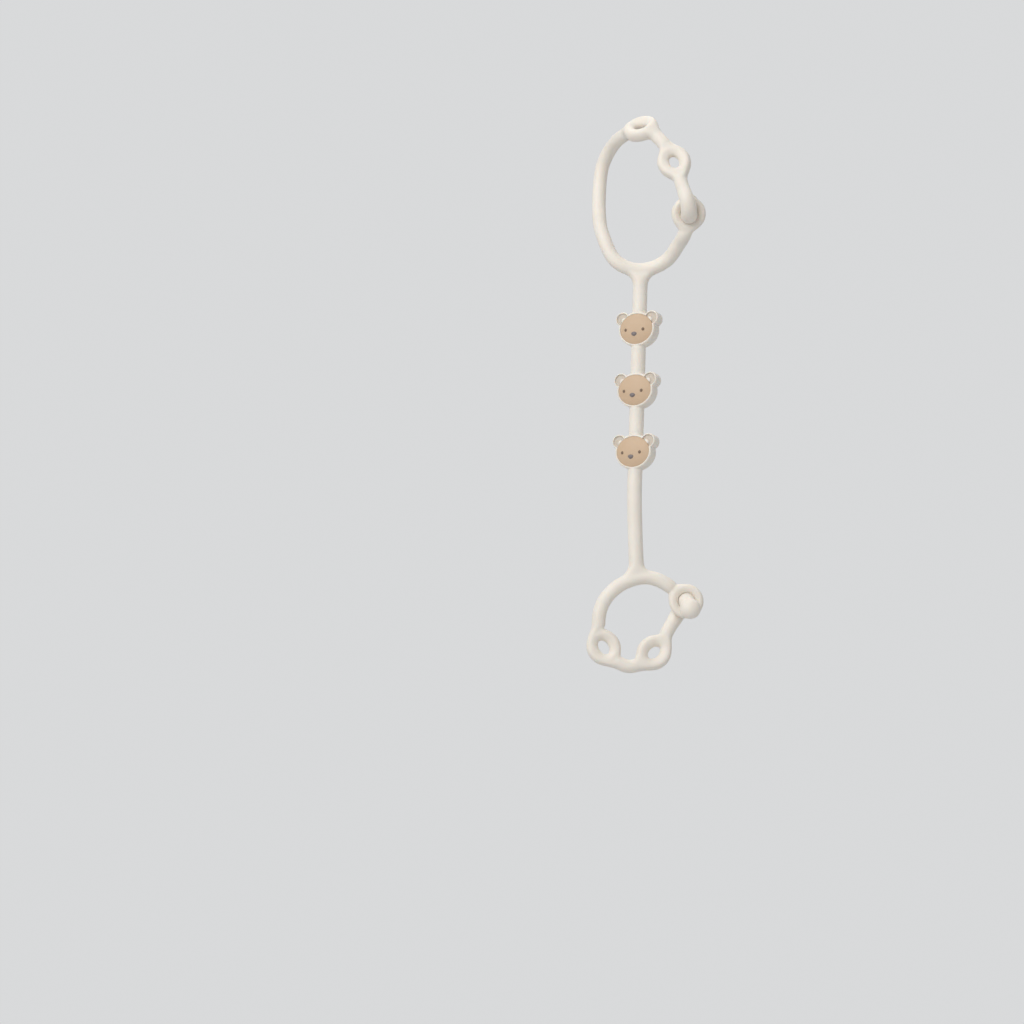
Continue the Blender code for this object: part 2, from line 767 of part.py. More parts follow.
def build_stem(strap, stem):
    """The stem's flexing lengths, its collar and long lower length, and the bears along it."""
    bear_half = HEAD_HEIGHT / 2 + HEAD_STUB_LENGTH
    bears = [FIRST_BEAR_DROP + BEAR_PITCH * i - UPPER_DROP for i in range(BEAR_COUNT)]
    cord = (STEM_DIAMETER,)

    top = STEM_STUB_LENGTH + SEAM_GAP
    bottom = bears[0] - bear_half - SEAM_GAP
    collar_start = (top + bottom - COLLAR_LENGTH) / 2
    collar_end = collar_start + COLLAR_LENGTH
    strap.pivot("stem_collar", stem.at((top + collar_start - SEAM_GAP) / 2))
    flex = tube("stem_flex_1a", strap.parts, stem, top, collar_start - SEAM_GAP, cord)
    strap.place(flex, CREAM, "stem_collar")
    collar = tube("stem_collar", strap.parts, stem, collar_start, collar_end, cord)
    strap.place(collar, CREAM, "stem_collar")
    strap.pivot("bear_1", stem.at((collar_end + SEAM_GAP + bottom) / 2))
    flex = tube("stem_flex_1b", strap.parts, stem, collar_end + SEAM_GAP, bottom, cord)
    strap.place(flex, CREAM, "bear_1")
    build_bear(strap, 1, stem.at(bears[0]), "bear_1")

    for i in range(1, BEAR_COUNT):
        start = bears[i - 1] + bear_half + SEAM_GAP
        end = bears[i] - bear_half - SEAM_GAP
        pivot = f"bear_{i + 1}"
        strap.pivot(pivot, stem.at((start + end) / 2))
        flex = tube(f"stem_flex_{i + 1}", strap.parts, stem, start, end, cord)
        strap.place(flex, CREAM, pivot)
        build_bear(strap, i + 1, stem.at(bears[i]), pivot)

    start = bears[-1] + bear_half + SEAM_GAP
    end = start + LOWER_FLEX_LENGTH
    strap.pivot("stem_lower", stem.at((start + end) / 2))
    flex = tube("stem_flex_4a", strap.parts, stem, start, end, cord)
    strap.place(flex, CREAM, "stem_lower")
    stub = stem.lengths[-1] - LOWER_STUB_LENGTH
    flex_start = stub - SEAM_GAP - LOWER_FLEX_LENGTH
    lower = tube(
        "stem_lower", strap.parts, stem, end + SEAM_GAP, flex_start - SEAM_GAP, cord
    )
    strap.place(lower, CREAM, "stem_lower")
    strap.pivot("lower_yoke", stem.at(flex_start + LOWER_FLEX_LENGTH / 2))
    flex = tube("stem_flex_4b", strap.parts, stem, flex_start, stub - SEAM_GAP, cord)
    strap.place(flex, CREAM, "lower_yoke")
    return stub


def main():
    """Build the whole strap."""
    clear_scene()
    strap = Strap()

    upper, junction, eyelets = upper_route()
    stem = stem_route()
    yoke_start = RING_REACH + SEAM_GAP
    flex_start = upper.station(junction + 2)
    yoke = strap.yoke(
        "upper_yoke", upper, yoke_start, flex_start - SEAM_GAP, stem, 0.0, STEM_STUB_LENGTH
    )
    strap.place(yoke, CREAM)
    strap.place(strap.button_ring("upper_ring", upper, UPPER_RING_FACING), CREAM)
    build_tail(strap, "upper", upper, flex_start, eyelets, UPPER_EYELET_FACINGS, "upper_arm")

    stub_start = build_stem(strap, stem)

    lower, junction, eyelets = lower_route(stem.at(stem.lengths[-1]))
    flex_start = lower.station(junction + 2)
    yoke = strap.yoke(
        "lower_yoke", lower, yoke_start, flex_start - SEAM_GAP, stem, stem.lengths[-1], stub_start
    )
    strap.place(yoke, CREAM, "lower_yoke")
    strap.place(strap.button_ring("lower_ring", lower, LOWER_FACING), CREAM, "lower_yoke")
    facings = (LOWER_FACING, LOWER_FACING)
    build_tail(strap, "lower", lower, flex_start, eyelets, facings, "lower_inner_eyelet")
    bpy.context.view_layer.update()


main()
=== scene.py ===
"""The looks of a silicone toy strap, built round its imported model.

The strap is one cream moulding with coloured inlays. Its whole skin is modelled as one cage of four-sided
faces, rounded by subdivision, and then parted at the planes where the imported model's nodes meet. So each
node has its own piece of skin, and no seam shows. The bear heads are cut from solid discs and melted
together, and their faces, noses and eyes are inlays of their own. All sizes are in metres.
"""

import json
import logging
import math
from dataclasses import dataclass, replace
from enum import Enum
from typing import Callable, Sequence

import bmesh
import bpy
from bmesh.types import BMFace, BMVert
from bpy.types import ID, Material, Node, NodeSocket, NodeTree, Object
from mathutils import Matrix, Vector
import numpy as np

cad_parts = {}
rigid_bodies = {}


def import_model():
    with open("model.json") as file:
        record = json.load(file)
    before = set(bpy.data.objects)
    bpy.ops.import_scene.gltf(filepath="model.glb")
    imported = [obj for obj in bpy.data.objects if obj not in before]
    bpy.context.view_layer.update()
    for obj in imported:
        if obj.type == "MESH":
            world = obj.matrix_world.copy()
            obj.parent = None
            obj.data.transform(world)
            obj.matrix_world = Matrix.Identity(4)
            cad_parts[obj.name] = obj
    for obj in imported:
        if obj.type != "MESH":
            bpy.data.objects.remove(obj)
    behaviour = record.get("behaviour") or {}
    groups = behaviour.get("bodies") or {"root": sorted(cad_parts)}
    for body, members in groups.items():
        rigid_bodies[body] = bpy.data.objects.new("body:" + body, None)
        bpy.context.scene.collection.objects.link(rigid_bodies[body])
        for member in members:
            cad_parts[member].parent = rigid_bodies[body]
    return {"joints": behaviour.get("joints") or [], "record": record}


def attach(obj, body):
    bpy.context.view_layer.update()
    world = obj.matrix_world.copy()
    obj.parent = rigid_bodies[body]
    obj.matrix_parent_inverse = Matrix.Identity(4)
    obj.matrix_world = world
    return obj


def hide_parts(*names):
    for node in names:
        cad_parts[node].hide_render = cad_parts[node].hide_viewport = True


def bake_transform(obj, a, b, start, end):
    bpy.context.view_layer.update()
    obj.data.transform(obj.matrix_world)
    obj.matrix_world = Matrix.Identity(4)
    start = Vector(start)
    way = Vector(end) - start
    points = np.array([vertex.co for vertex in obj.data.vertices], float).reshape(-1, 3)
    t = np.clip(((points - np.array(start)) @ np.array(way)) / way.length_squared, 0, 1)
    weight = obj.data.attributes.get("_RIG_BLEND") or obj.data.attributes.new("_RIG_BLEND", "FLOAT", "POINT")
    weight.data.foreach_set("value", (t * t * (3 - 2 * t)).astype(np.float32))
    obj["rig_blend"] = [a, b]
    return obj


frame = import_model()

LOG = logging.getLogger("toy_strap")
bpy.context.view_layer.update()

SIDES = 12
QUARTER = SIDES // 4
# A closed loop of twelve points shrinks by this share when subdivision rounds it.
ROUNDING = (2.0 + math.cos(2.0 * math.pi / SIDES)) / 3.0
SUBDIVISIONS = 2
WELD = 0.00001
SMOOTH_ANGLE = math.radians(50.0)
PARTING = "parting"
# The mark of the ear hollows, where shade is painted into the cream.
HOLLOW_SHADE = "hollow"

Colour = tuple[float, float, float, float]
Shares = tuple[float, float, float]
Span = tuple[float, float]
Source = NodeSocket | float | Shares | Colour
Element = BMVert | BMFace


class Finish(Enum):
    """The silicones that the strap is moulded from, by the names of the record's material slots."""

    CREAM = "cream_silicone"
    BEIGE = "beige_silicone"
    NOSE = "nose_grey"
    EYE = "eye_brown"


@dataclass(frozen=True)
class CordSizes:
    """Sizes of the strap's cord, and of the forks and balls at its ends."""

    stem: float = 0.0088
    arm: float = 0.0084
    link: float = 0.0081
    waist: float = 0.0105
    neck: float = 0.0078
    ball: float = 0.0123
    seam_gap: float = 0.0003
    step: float = 0.0028
    lip: float = 0.0004
    flex_link: float = 0.0070
    flex_arm: float = 0.0120
    flex_inset: float = 0.0011
    fork_spread: float = 0.0062
    fork_reach_share: float = 1.5
    fork_slack: float = 0.0005
    fork_cone: float = math.radians(52.0)
    # How far from the fork each ring of the stem lies, and its swelling sideways.
    fork_swells: tuple[Span, ...] = ((0.0060, 1.16), (0.0080, 1.03))
    ball_neck_share: float = 0.90
    ball_pole_share: float = 0.10
    ball_belts: tuple[float, ...] = (125.0, 100.0, 75.0, 50.0, 26.0)
    ball_belt_step: float = 25.0


@dataclass(frozen=True)
class RingSizes:
    """One eyelet or button ring, with its width across the cord and its length along it."""

    width: float
    length: float
    hole_width: float
    hole_length: float
    thickness: float
    # From the middle to the seam of each neck.
    reach: float
    neck: float
    # How thick the neck is under the rim's lip, or 0 without a lip, and how sharp that corner is.
    root: float
    corner: float

    @property
    def start(self) -> Span:
        """The two radii of the plain torus that the ring is drawn from."""
        return self.width / 3, self.width / 8


EYELET = RingSizes(0.0198, 0.0218, 0.0058, 0.0090, 0.0078, 0.0126, 0.0081, 0.0, 0.0)
BUTTON_RING = RingSizes(0.0204, 0.0204, 0.0098, 0.0098, 0.0064, 0.0170, 0.0084, 0.0056, 0.7)
# Rows of a ring's cage, from its outer edge in to its hole: share of the way out, and share forward.
RING_ROWS = (
    (1.03, 0.00),
    (1.00, 0.50),
    (0.84, 0.95),
    (0.56, 1.02),
    (0.26, 0.80),
    (0.03, 0.46),
    (-0.03, 0.00),
)
CORD = CordSizes()


@dataclass(frozen=True)
class StemSizes:
    """Places along the stem, below the bar's axis or along the cord."""

    junction_drop: float = 0.0613
    stub: float = 0.0100
    first_bear_drop: float = 0.0982
    bear_pitch: float = 0.0375
    bears: int = 3
    tail: float = 0.0757
    side_drift: float = 0.0028
    # How the tail drifts sideways: share of its length, and share of the drift.
    drift_shares: tuple[Span, ...] = ((0.35, 0.0), (0.68, 0.42), (1.0, 1.0))
    collar: float = 0.0036
    lower_flex: float = 0.0100
    lower_stub: float = 0.0118

    @property
    def bear_drops(self) -> list[float]:
        """How far each bear's middle lies below the bar."""
        return [self.first_bear_drop + self.bear_pitch * i for i in range(self.bears)]


STEM = StemSizes()


@dataclass(frozen=True)
class LoopPlan:
    """Where a loop's cord runs, from its button ring round to its ball.

    Args:
        scale: The loop's size.
        origin: The place that its shares are counted from.
        junction: Which point the stem meets.
        inner: Which point is the middle of the inner eyelet. That of the outer one is two on, and the
            shank passes the ring at the sixth after it.
        shares: The points that the cord runs through, as shares of the size.
        facings: Front directions at the ring, the junction and both eyelets.
    """

    scale: Vector
    origin: Vector
    junction: int
    inner: int
    shares: tuple[Shares, ...]
    facings: tuple[Shares, ...]

    @property
    def outer(self) -> int:
        """Which point is the middle of the outer eyelet."""
        return self.inner + 2

    @property
    def waist(self) -> int:
        """Which point of the shank passes the ring."""
        return self.inner + 6

    def route(self) -> "Route":
        """Lay the cord's centreline.

        Returns:
            The route.
        """
        places = (0, self.junction, self.inner, self.outer)
        fronts = {place: Vector(facing) for place, facing in zip(places, self.facings)}
        return Route([self.origin + self.scale * Vector(share) for share in self.shares], fronts)


UPPER_LOOP = LoopPlan(
    scale=Vector((0.0265, 0.0250, 0.0613)),
    origin=Vector((0.0, 0.0, 0.0)),
    junction=4,
    inner=12,
    shares=(
        (1.012, -1.000, -0.512),
        (0.952, -0.880, -0.692),
        (0.821, -0.540, -0.778),
        (0.560, -0.180, -0.915),
        (0.0, 0.0, -1.0),
        (-0.553, 0.060, -0.915),
        (-0.888, 0.240, -0.627),
        (-0.955, 0.440, -0.481),
        (-0.981, 0.760, -0.220),
        (-0.925, 0.860, 0.131),
        (-0.755, 0.580, 0.285),
        (-0.515, 0.000, 0.351),
        (-0.096, -0.560, 0.375),
        (0.328, -0.880, 0.238),
        (0.653, -1.080, -0.011),
        (0.842, -1.300, -0.270),
        (0.962, -1.460, -0.448),
        (1.013, -1.260, -0.548),
        (1.018, -1.000, -0.524),
        (1.019, -0.760, -0.478),
        (1.019, -0.540, -0.361),
    ),
    facings=((0.06, -0.99, -0.12), (0.0, -1.0, 0.0), (-0.12, -0.90, 0.55), (-0.10, -0.97, 0.10)),
)
LOWER_LOOP = LoopPlan(
    scale=Vector((0.0520, 0.0160, 0.0531)),
    origin=Vector((0.0028, 0.0, -0.2489)),
    junction=3,
    inner=7,
    shares=(
        (0.571, 0.000, -0.244),
        (0.335, 0.000, -0.056),
        (0.150, 0.000, 0.010),
        (0.0, 0.0, 0.0),
        (-0.225, 0.000, -0.109),
        (-0.381, 0.000, -0.296),
        (-0.425, 0.000, -0.512),
        (-0.358, 0.060, -0.793),
        (-0.063, 0.100, -1.000),
        (0.219, 0.190, -0.829),
        (0.404, 0.344, -0.516),
        (0.502, 0.500, -0.350),
        (0.563, 0.325, -0.243),
        (0.575, 0.000, -0.246),
        (0.592, -0.313, -0.286),
        (0.610, -0.594, -0.350),
    ),
    facings=((0.0, -1.0, 0.0),) * 4,
)


@dataclass(frozen=True)
class Hoop:
    """One ring of a cage's points: its middle, its axes, and its half widths to the side and front."""

    centre: Vector
    along: Vector
    front: Vector
    half_side: float
    half_front: float


def squared(way: Vector, along: Vector) -> Vector:
    """The part of a direction that is square to another, as a unit vector."""
    return (way - along * way.dot(along)).normalized()


class Route:
    """A smooth centreline through points, with a front direction carried along it.

    Args:
        points: Places that the line runs through.
        facings: Front directions at some of the points, by index.
    """

    PER_SPAN = 24
    NUDGE = 0.0004

    def __init__(self, points: Sequence[Vector], facings: dict[int, Vector]) -> None:
        self.samples = self._curve(list(points))
        self.lengths = [0.0]
        for first, second in zip(self.samples, self.samples[1:]):
            self.lengths.append(self.lengths[-1] + (second - first).length)
        self.fronts = self._carry({index * self.PER_SPAN: way for index, way in facings.items()})

    def _curve(self, points: list[Vector]) -> list[Vector]:
        """Sample the centripetal curve through the points.

        Args:
            points: Places that the line runs through.

        Returns:
            The samples, evenly shared out between the points.
        """
        padded = [points[0] * 2 - points[1], *points, points[-1] * 2 - points[-2]]
        samples: list[Vector] = []
        for a, b, c, d in zip(padded, padded[1:], padded[2:], padded[3:]):
            t1 = math.sqrt((b - a).length)
            t2 = t1 + math.sqrt((c - b).length)
            t3 = t2 + math.sqrt((d - c).length)
            for step in range(self.PER_SPAN):
                t = t1 + (t2 - t1) * step / self.PER_SPAN
                ab = a.lerp(b, t / t1)
                bc = b.lerp(c, (t - t1) / (t2 - t1))
                cd = c.lerp(d, (t - t2) / (t3 - t2))
                abc = ab.lerp(bc, t / t2)
                bcd = bc.lerp(cd, (t - t1) / (t3 - t1))
                samples.append(abc.lerp(bcd, (t - t1) / (t2 - t1)))
        samples.append(points[-1].copy())
        return samples

    def _tangent(self, index: int) -> Vector:
        """Unit direction at a sample, from the one before it to the one after."""
        near = self.samples[max(index - 1, 0) : index + 2]
        return (near[-1] - near[0]).normalized()

    def _carry(self, keys: dict[int, Vector]) -> list[Vector]:
        """Carry the front from each key to the next, with the small twist left over shared out.

        Args:
            keys: Front directions at some of the samples, by index.

        Returns:
            The front direction at each sample.
        """
        places = sorted(keys)
        fronts: list[Vector] = [Vector()] * len(self.samples)
        for start, end in zip(places, [*places[1:], len(self.samples) - 1]):
            carried = [squared(keys[start], self._tangent(start))]
            for index in range(start + 1, end + 1):
                carried.append(squared(carried[-1], self._tangent(index)))
            twist = 0.0
            if end in keys:
                along = self._tangent(end)
                aim = squared(keys[end], along)
                twist = math.atan2(carried[-1].cross(aim).dot(along), carried[-1].dot(aim))
                part = 2.0 * math.pi / SIDES
                twist -= part * round(twist / part)
            for step, way in enumerate(carried):
                share = step / max(1, end - start)
                turn = Matrix.Rotation(twist * share, 3, self._tangent(start + step))
                fronts[start + step] = turn @ way
            fronts[start] = carried[0]
        return fronts

    def station(self, index: int) -> float:
        """Length from the start to one of the points that the route was made from."""
        return self.lengths[index * self.PER_SPAN]

    def _before(self, length: float) -> int:
        """Find the last sample that isn't past a length, by halving.

        Args:
            length: Length from the start.

        Returns:
            The sample's index.
        """
        low, high = 0, len(self.lengths) - 1
        while high - low > 1:
            middle = (low + high) // 2
            low, high = (middle, high) if self.lengths[middle] <= length else (low, middle)
        return low

    def at(self, length: float) -> Vector:
        """Find a point on the line. Past either end it runs on straight.

        Args:
            length: Length from the start.

        Returns:
            The point.
        """
        index = self._before(length)
        share = (length - self.lengths[index]) / (self.lengths[index + 1] - self.lengths[index])
        return self.samples[index] + (self.samples[index + 1] - self.samples[index]) * share

    def along(self, length: float) -> Vector:
        """Unit direction at a length from the start."""
        return (self.at(length + self.NUDGE) - self.at(length - self.NUDGE)).normalized()

    def front(self, length: float) -> Vector:
        """Find the front direction, which is that of the nearest sample.

        Args:
            length: Length from the start.

        Returns:
            The direction, square to the line.
        """
        index = self._before(length)
        near = index + 1 if length - self.lengths[index] > self.lengths[index + 1] - length else index
        return squared(self.fronts[near], self.along(length))

    def hoop(self, length: float, half_side: float, half_front: float) -> Hoop:
        """A ring of points round the route, at a length from the start."""
        return Hoop(self.at(length), self.along(length), self.front(length), half_side, half_front)

    @staticmethod
    def stations(start: float, end: float, step: float) -> list[float]:
        """Evenly spaced lengths from start to end, both included."""
        count = max(2, round(abs(end - start) / step))
        return [start + (end - start) * i / count for i in range(count + 1)]


class Bench:
    """Short forms of the modelling operators, each with only what it needs selected."""

    @staticmethod
    def clear() -> None:
        """Leave edit mode and deselect everything."""
        if bpy.context.mode != "OBJECT":
            bpy.ops.object.mode_set(mode="OBJECT")
        bpy.ops.object.select_all(action="DESELECT")

    @classmethod
    def pick(cls, *objects: Object) -> None:
        """Select these objects alone. The first is the active one."""
        cls.clear()
        for obj in objects:
            obj.select_set(True)
        bpy.context.view_layer.objects.active = objects[0]

    @staticmethod
    def edit(mode: str = "VERT") -> None:
        """Enter edit mode on the active object."""
        bpy.ops.object.mode_set(mode="EDIT")
        bpy.ops.mesh.select_mode(type=mode)

    @staticmethod
    def choose(obj: Object, kind: str, chosen: Callable[[Element], bool]) -> None:
        """Select the points or the faces that pass a test, in edit mode.

        Args:
            obj: The object that is being edited.
            kind: verts or faces.
            chosen: The test of one of them.
        """
        bpy.ops.mesh.select_all(action="DESELECT")
        shape = bmesh.from_edit_mesh(obj.data)
        shape.verts.index_update()
        for element in getattr(shape, kind):
            if chosen(element):
                element.select_set(True)
        if kind == "verts":
            shape.select_flush(True)
        bmesh.update_edit_mesh(obj.data)

    @classmethod
    def modify(cls, obj: Object, kind: str, **settings: object) -> None:
        """Change an object by a modifier, and apply it.

        Args:
            obj: The object.
            kind: The modifier's type.
            settings: The modifier's properties.
        """
        modifier = obj.modifiers.new(kind.lower(), kind)
        for name, value in settings.items():
            setattr(modifier, name, value)
        cls.pick(obj)
        bpy.ops.object.modifier_apply(modifier=modifier.name)

    @classmethod
    def bevel(cls, obj: Object, width: float, segments: int, angle: float) -> None:
        """Round an object's edges by a width in so many steps, where they are sharper than an angle."""
        limits = {"limit_method": "ANGLE", "angle_limit": angle}
        cls.modify(obj, "BEVEL", width=width, segments=segments, **limits)

    @classmethod
    def relax(cls, obj: Object, factor: float, rounds: int) -> None:
        """Relax an object's surface by a factor, so many times."""
        cls.modify(obj, "SMOOTH", factor=factor, iterations=rounds)

    @classmethod
    def smooth(cls, obj: Object, angle: float) -> None:
        """Shade an object smooth, but for the edges that are sharper than an angle."""
        cls.pick(obj)
        bpy.ops.object.shade_smooth_by_angle(angle=angle)

    @classmethod
    def place(cls, obj: Object, matrix: Matrix) -> None:
        """Move an object's mesh to its place, and leave the object at the origin.

        Args:
            obj: The object.
            matrix: From its own axes to the strap's.
        """
        cls.pick(obj)
        obj.matrix_world = matrix
        bpy.ops.object.transform_apply(location=True, rotation=True, scale=True)

    @staticmethod
    def stretch(obj: Object, scale: Shares) -> Object:
        """Stretch a new primitive, and fix its place, turn and scale in its mesh.

        Args:
            obj: The primitive.
            scale: Its scale along each axis.

        Returns:
            The same object.
        """
        obj.scale = scale
        bpy.ops.object.transform_apply(location=True, rotation=True, scale=True)
        return obj

    @classmethod
    def join(cls, objects: Sequence[Object]) -> Object:
        """Join objects into the first of them.

        Args:
            objects: The objects.

        Returns:
            The joined object.
        """
        cls.pick(*objects)
        bpy.ops.object.join()
        return bpy.context.view_layer.objects.active


class Cage:
    """A cage of four-sided faces for one node's length of skin, modelled in edit mode.

    Args:
        node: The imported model's node that this skin stands for.
    """

    def __init__(self, node: str) -> None:
        self.node = node
        self.obj = bpy.data.objects.new(node + "_cage", bpy.data.meshes.new(node + "_cage"))
        bpy.context.scene.collection.objects.link(self.obj)
        Bench.pick(self.obj)
        self.obj.data.attributes.new(PARTING, "FLOAT", "POINT")

    def _hoop(self, hoop: Hoop) -> range:
        """Add one ring of points.

        Args:
            hoop: The ring's place, axes and half widths.

        Returns:
            The indexes of its points.
        """
        side = hoop.along.cross(hoop.front)
        axes = Matrix((hoop.front, side, hoop.along)).transposed()
        bpy.ops.mesh.select_all(action="DESELECT")
        start = len(bmesh.from_edit_mesh(self.obj.data).verts)
        bpy.ops.mesh.primitive_circle_add(
            vertices=SIDES,
            radius=hoop.half_front / ROUNDING,
            location=hoop.centre,
            rotation=axes.to_euler(),
        )
        if hoop.half_side != hoop.half_front:
            ratio = hoop.half_side / hoop.half_front
            stretch = Vector([1.0 + (ratio - 1.0) * abs(part) for part in side])
            bpy.ops.transform.resize(value=stretch, center_override=hoop.centre)
        shape = bmesh.from_edit_mesh(self.obj.data)
        shape.verts.ensure_lookup_table()
        layer = shape.verts.layers.float[PARTING]
        for index in (start, start + SIDES // 2):
            shape.verts[index][layer] = 1.0
        return range(start, start + SIDES)

    def bridge(self, chosen: Callable[[BMVert], bool]) -> None:
        """Select the points of two rings, and bridge the rings with one row of faces."""
        Bench.choose(self.obj, "verts", chosen)
        bpy.ops.mesh.bridge_edge_loops()

    def tube(self, hoops: Sequence[Hoop]) -> list[range]:
        """Add rings and bridge each to the next.

        Args:
            hoops: The rings, in order.

        Returns:
            The indexes of each ring's points.
        """
        rings = [self._hoop(hoops[0])]
        for hoop in hoops[1:]:
            rings.append(self._hoop(hoop))
            pair = range(rings[-2].start, rings[-1].stop)
            self.bridge(lambda point, pair=pair: point.index in pair)
        return rings


class Moulding:
    """The whole cream skin: it gathers the cages, rounds them as one, and parts them into pieces."""

    def __init__(self) -> None:
        self.cages: list[Cage] = []
        self.bends: dict[str, tuple[Vector, Vector]] = {}

    def add(self, cage: Cage) -> None:
        """Take in one finished cage, and mark its faces with a material that carries its node's name.

        Args:
            cage: The cage.
        """
        Bench.clear()
        cage.obj.data.materials.clear()
        cage.obj.data.materials.append(bpy.data.materials.new(cage.node))
        self.cages.append(cage)

    def part(self) -> dict[str, Object]:
        """Weld, round and part the skin.

        Returns:
            The finished pieces by node.
        """
        skin = Bench.join([cage.obj for cage in self.cages])
        skin.name = "strap_skin"
        Bench.edit()
        bpy.ops.mesh.select_all(action="SELECT")
        bpy.ops.mesh.remove_doubles(threshold=WELD)
        bpy.ops.mesh.normals_make_consistent(inside=False)
        Bench.clear()
        Bench.modify(skin, "SUBSURF", levels=SUBDIVISIONS, render_levels=SUBDIVISIONS)
        Bench.edit("FACE")
        bpy.ops.mesh.select_all(action="SELECT")
        bpy.ops.mesh.separate(type="MATERIAL")
        Bench.clear()
        pieces: dict[str, Object] = {}
        for obj in list(bpy.context.scene.objects):
            if obj.type == "MESH" and obj.name.startswith("strap_skin"):
                node = obj.data.materials[0].name
                obj.data.materials.clear()
                obj.name = node + "_skin"
                obj.data.name = obj.name
                pieces[node] = obj
        for obj in pieces.values():
            self._close(obj)
        return pieces

    @staticmethod
    def _close(obj: Object) -> None:
        """Close the open ends, and keep their rims sharp so that the skin's shading runs on.

        Args:
            obj: The piece of skin.
        """
        Bench.pick(obj)
        Bench.edit()
        bpy.ops.mesh.select_all(action="DESELECT")
        bpy.ops.mesh.select_non_manifold()
        bpy.ops.mesh.edge_face_add()
        Bench.smooth(obj, SMOOTH_ANGLE)


class CordMaker:
    """Makes the cage of each node along a route, and adds it to the moulding.

    Args:
        route: The cord's centreline.
        moulding: The skin that the cages become.
    """

    def __init__(self, route: Route, moulding: Moulding) -> None:
        self.route = route
        self.moulding = moulding

    def _round(self, lengths: Sequence[float], width: Callable[[float], float]) -> list[Hoop]:
        """Round rings along the route, each with its own diameter."""
        return [self.route.hoop(s, width(s) / 2, width(s) / 2) for s in lengths]

    def cord(self, node: str, start: float, end: float, first: float, last: float) -> None:
        """Make a length of cord that keeps its shape.

        Args:
            node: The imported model's node.
            start: Length along the route where it starts.
            end: Length where it ends.
            first: Its diameter at the start.
            last: Its diameter at the end.
        """
        cage = Cage(node)
        Bench.edit()
        lengths = self.route.stations(start, end, CORD.step)
        cage.tube(self._round(lengths, lambda s: first + (last - first) * (s - start) / (end - start)))
        self.moulding.add(cage)

    def flex(self, node: str, start: float, end: float, *widths: float) -> None:
        """Make a length of cord whose turn is shared out between its two seams.

        Args:
            node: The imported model's node.
            start: Length along the route where it starts.
            end: Length where it ends.
            widths: Its diameters at the start and at the end.
        """
        self.cord(node, start, end, *widths)
        inset = min(CORD.flex_inset, (end - start) / 6)
        self.moulding.bends[node] = (self.route.at(start + inset), self.route.at(end - inset))

    def ring(self, node: str, length: float, sizes: RingSizes, *ways: int) -> None:
        """Make an eyelet or a button ring, with a neck for each way that the cord leaves it.

        Args:
            node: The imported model's node.
            length: Length along the route where its middle is.
            sizes: The ring's sizes.
            ways: 1 for a neck onwards along the route, -1 for a neck backwards.
        """
        cage = Cage(node)
        Bench.clear()
        major, minor = sizes.start
        bpy.ops.mesh.primitive_torus_add(
            major_segments=SIDES, minor_segments=SIDES, major_radius=major, minor_radius=minor
        )
        torus = bpy.context.active_object
        parting = torus.data.attributes.new(PARTING, "FLOAT", "POINT")
        for index, value in enumerate(parting.data):
            value.value = 1.0 if index % (SIDES // 2) == 0 else 0.0
        Bench.edit()
        self._shape_rows(torus, sizes)
        bpy.ops.mesh.select_mode(type="FACE")
        Bench.choose(torus, "faces", lambda face: any(self._at_neck(face, way) for way in ways))
        bpy.ops.mesh.delete(type="FACE")
        bpy.ops.mesh.select_mode(type="VERT")
        hoop = self.route.hoop(length, major, major)
        axes = Matrix((hoop.along, hoop.front.cross(hoop.along), hoop.front)).transposed().to_4x4()
        Bench.place(torus, Matrix.Translation(hoop.centre) @ axes)
        cage.obj = Bench.join([cage.obj, torus])
        Bench.edit()
        for way in ways:
            self._neck(cage, length, way, sizes)
        self.moulding.add(cage)

    @staticmethod
    def _shape_rows(torus: Object, sizes: RingSizes) -> None:
        """Draw a plain torus to the ring's own section and outline, one pair of rows at a time.

        Args:
            torus: The torus, in edit mode.
            sizes: The ring's sizes.
        """
        major, minor = sizes.start
        for row, (out, forward) in enumerate(RING_ROWS):
            angle = 2 * math.pi * row / SIDES
            radius = major + minor * math.cos(angle)
            rise = minor * math.sin(angle)
            half_length = (sizes.hole_length + (sizes.length - sizes.hole_length) * out) / 2
            half_width = (sizes.hole_width + (sizes.width - sizes.hole_width) * out) / 2
            lift = forward * sizes.thickness / 2 / rise if forward else 1.0
            pair = (row, SIDES - row)
            Bench.choose(torus, "verts", lambda point, pair=pair: point.index % SIDES in pair)
            bpy.ops.transform.resize(
                value=(half_length / ROUNDING / radius, half_width / ROUNDING / radius, lift),
                center_override=(0.0, 0.0, 0.0),
            )

    @staticmethod
    def _at_neck(face: BMFace, way: int) -> bool:
        """Tell whether a face lies where a neck leaves the ring, two columns wide and four rows high.

        Args:
            face: A face of the whole torus.
            way: 1 for the neck onwards along the route, -1 for the one backwards.

        Returns:
            Whether it does.
        """
        middle = 0 if way > 0 else SIDES // 2
        columns = {(middle + step) % SIDES for step in (-1, 0, 1)}
        rows = {step % SIDES for step in (-2, -1, 0, 1, 2)}
        points = [divmod(point.index, SIDES) for point in face.verts]
        return all(column in columns and row in rows for column, row in points)

    def _neck(self, cage: Cage, length: float, way: int, sizes: RingSizes) -> None:
        """Bridge from an opening of the ring out to the seam, with a lip if the ring has one.

        Args:
            cage: The ring's cage.
            length: Length along the route where its middle is.
            way: 1 onwards along the route, -1 backwards.
            sizes: The ring's sizes.
        """
        centre = self.route.at(length)
        along = self.route.along(length) * way
        rim = sizes.length / 2
        clear = CORD.step / 3
        stations = [sizes.reach + CORD.seam_gap / 2]
        while stations[0] - CORD.step > rim + clear:
            stations.insert(0, stations[0] - CORD.step)
        limit = rim if sizes.root else stations[0] - clear / 2
        hoops = self._round([length + way * s for s in stations], lambda _: sizes.neck)

        def at_opening(point: BMVert) -> bool:
            """Whether a point lies on the opening's edge."""
            return point.is_boundary and 0 < (point.co - centre).dot(along) < limit

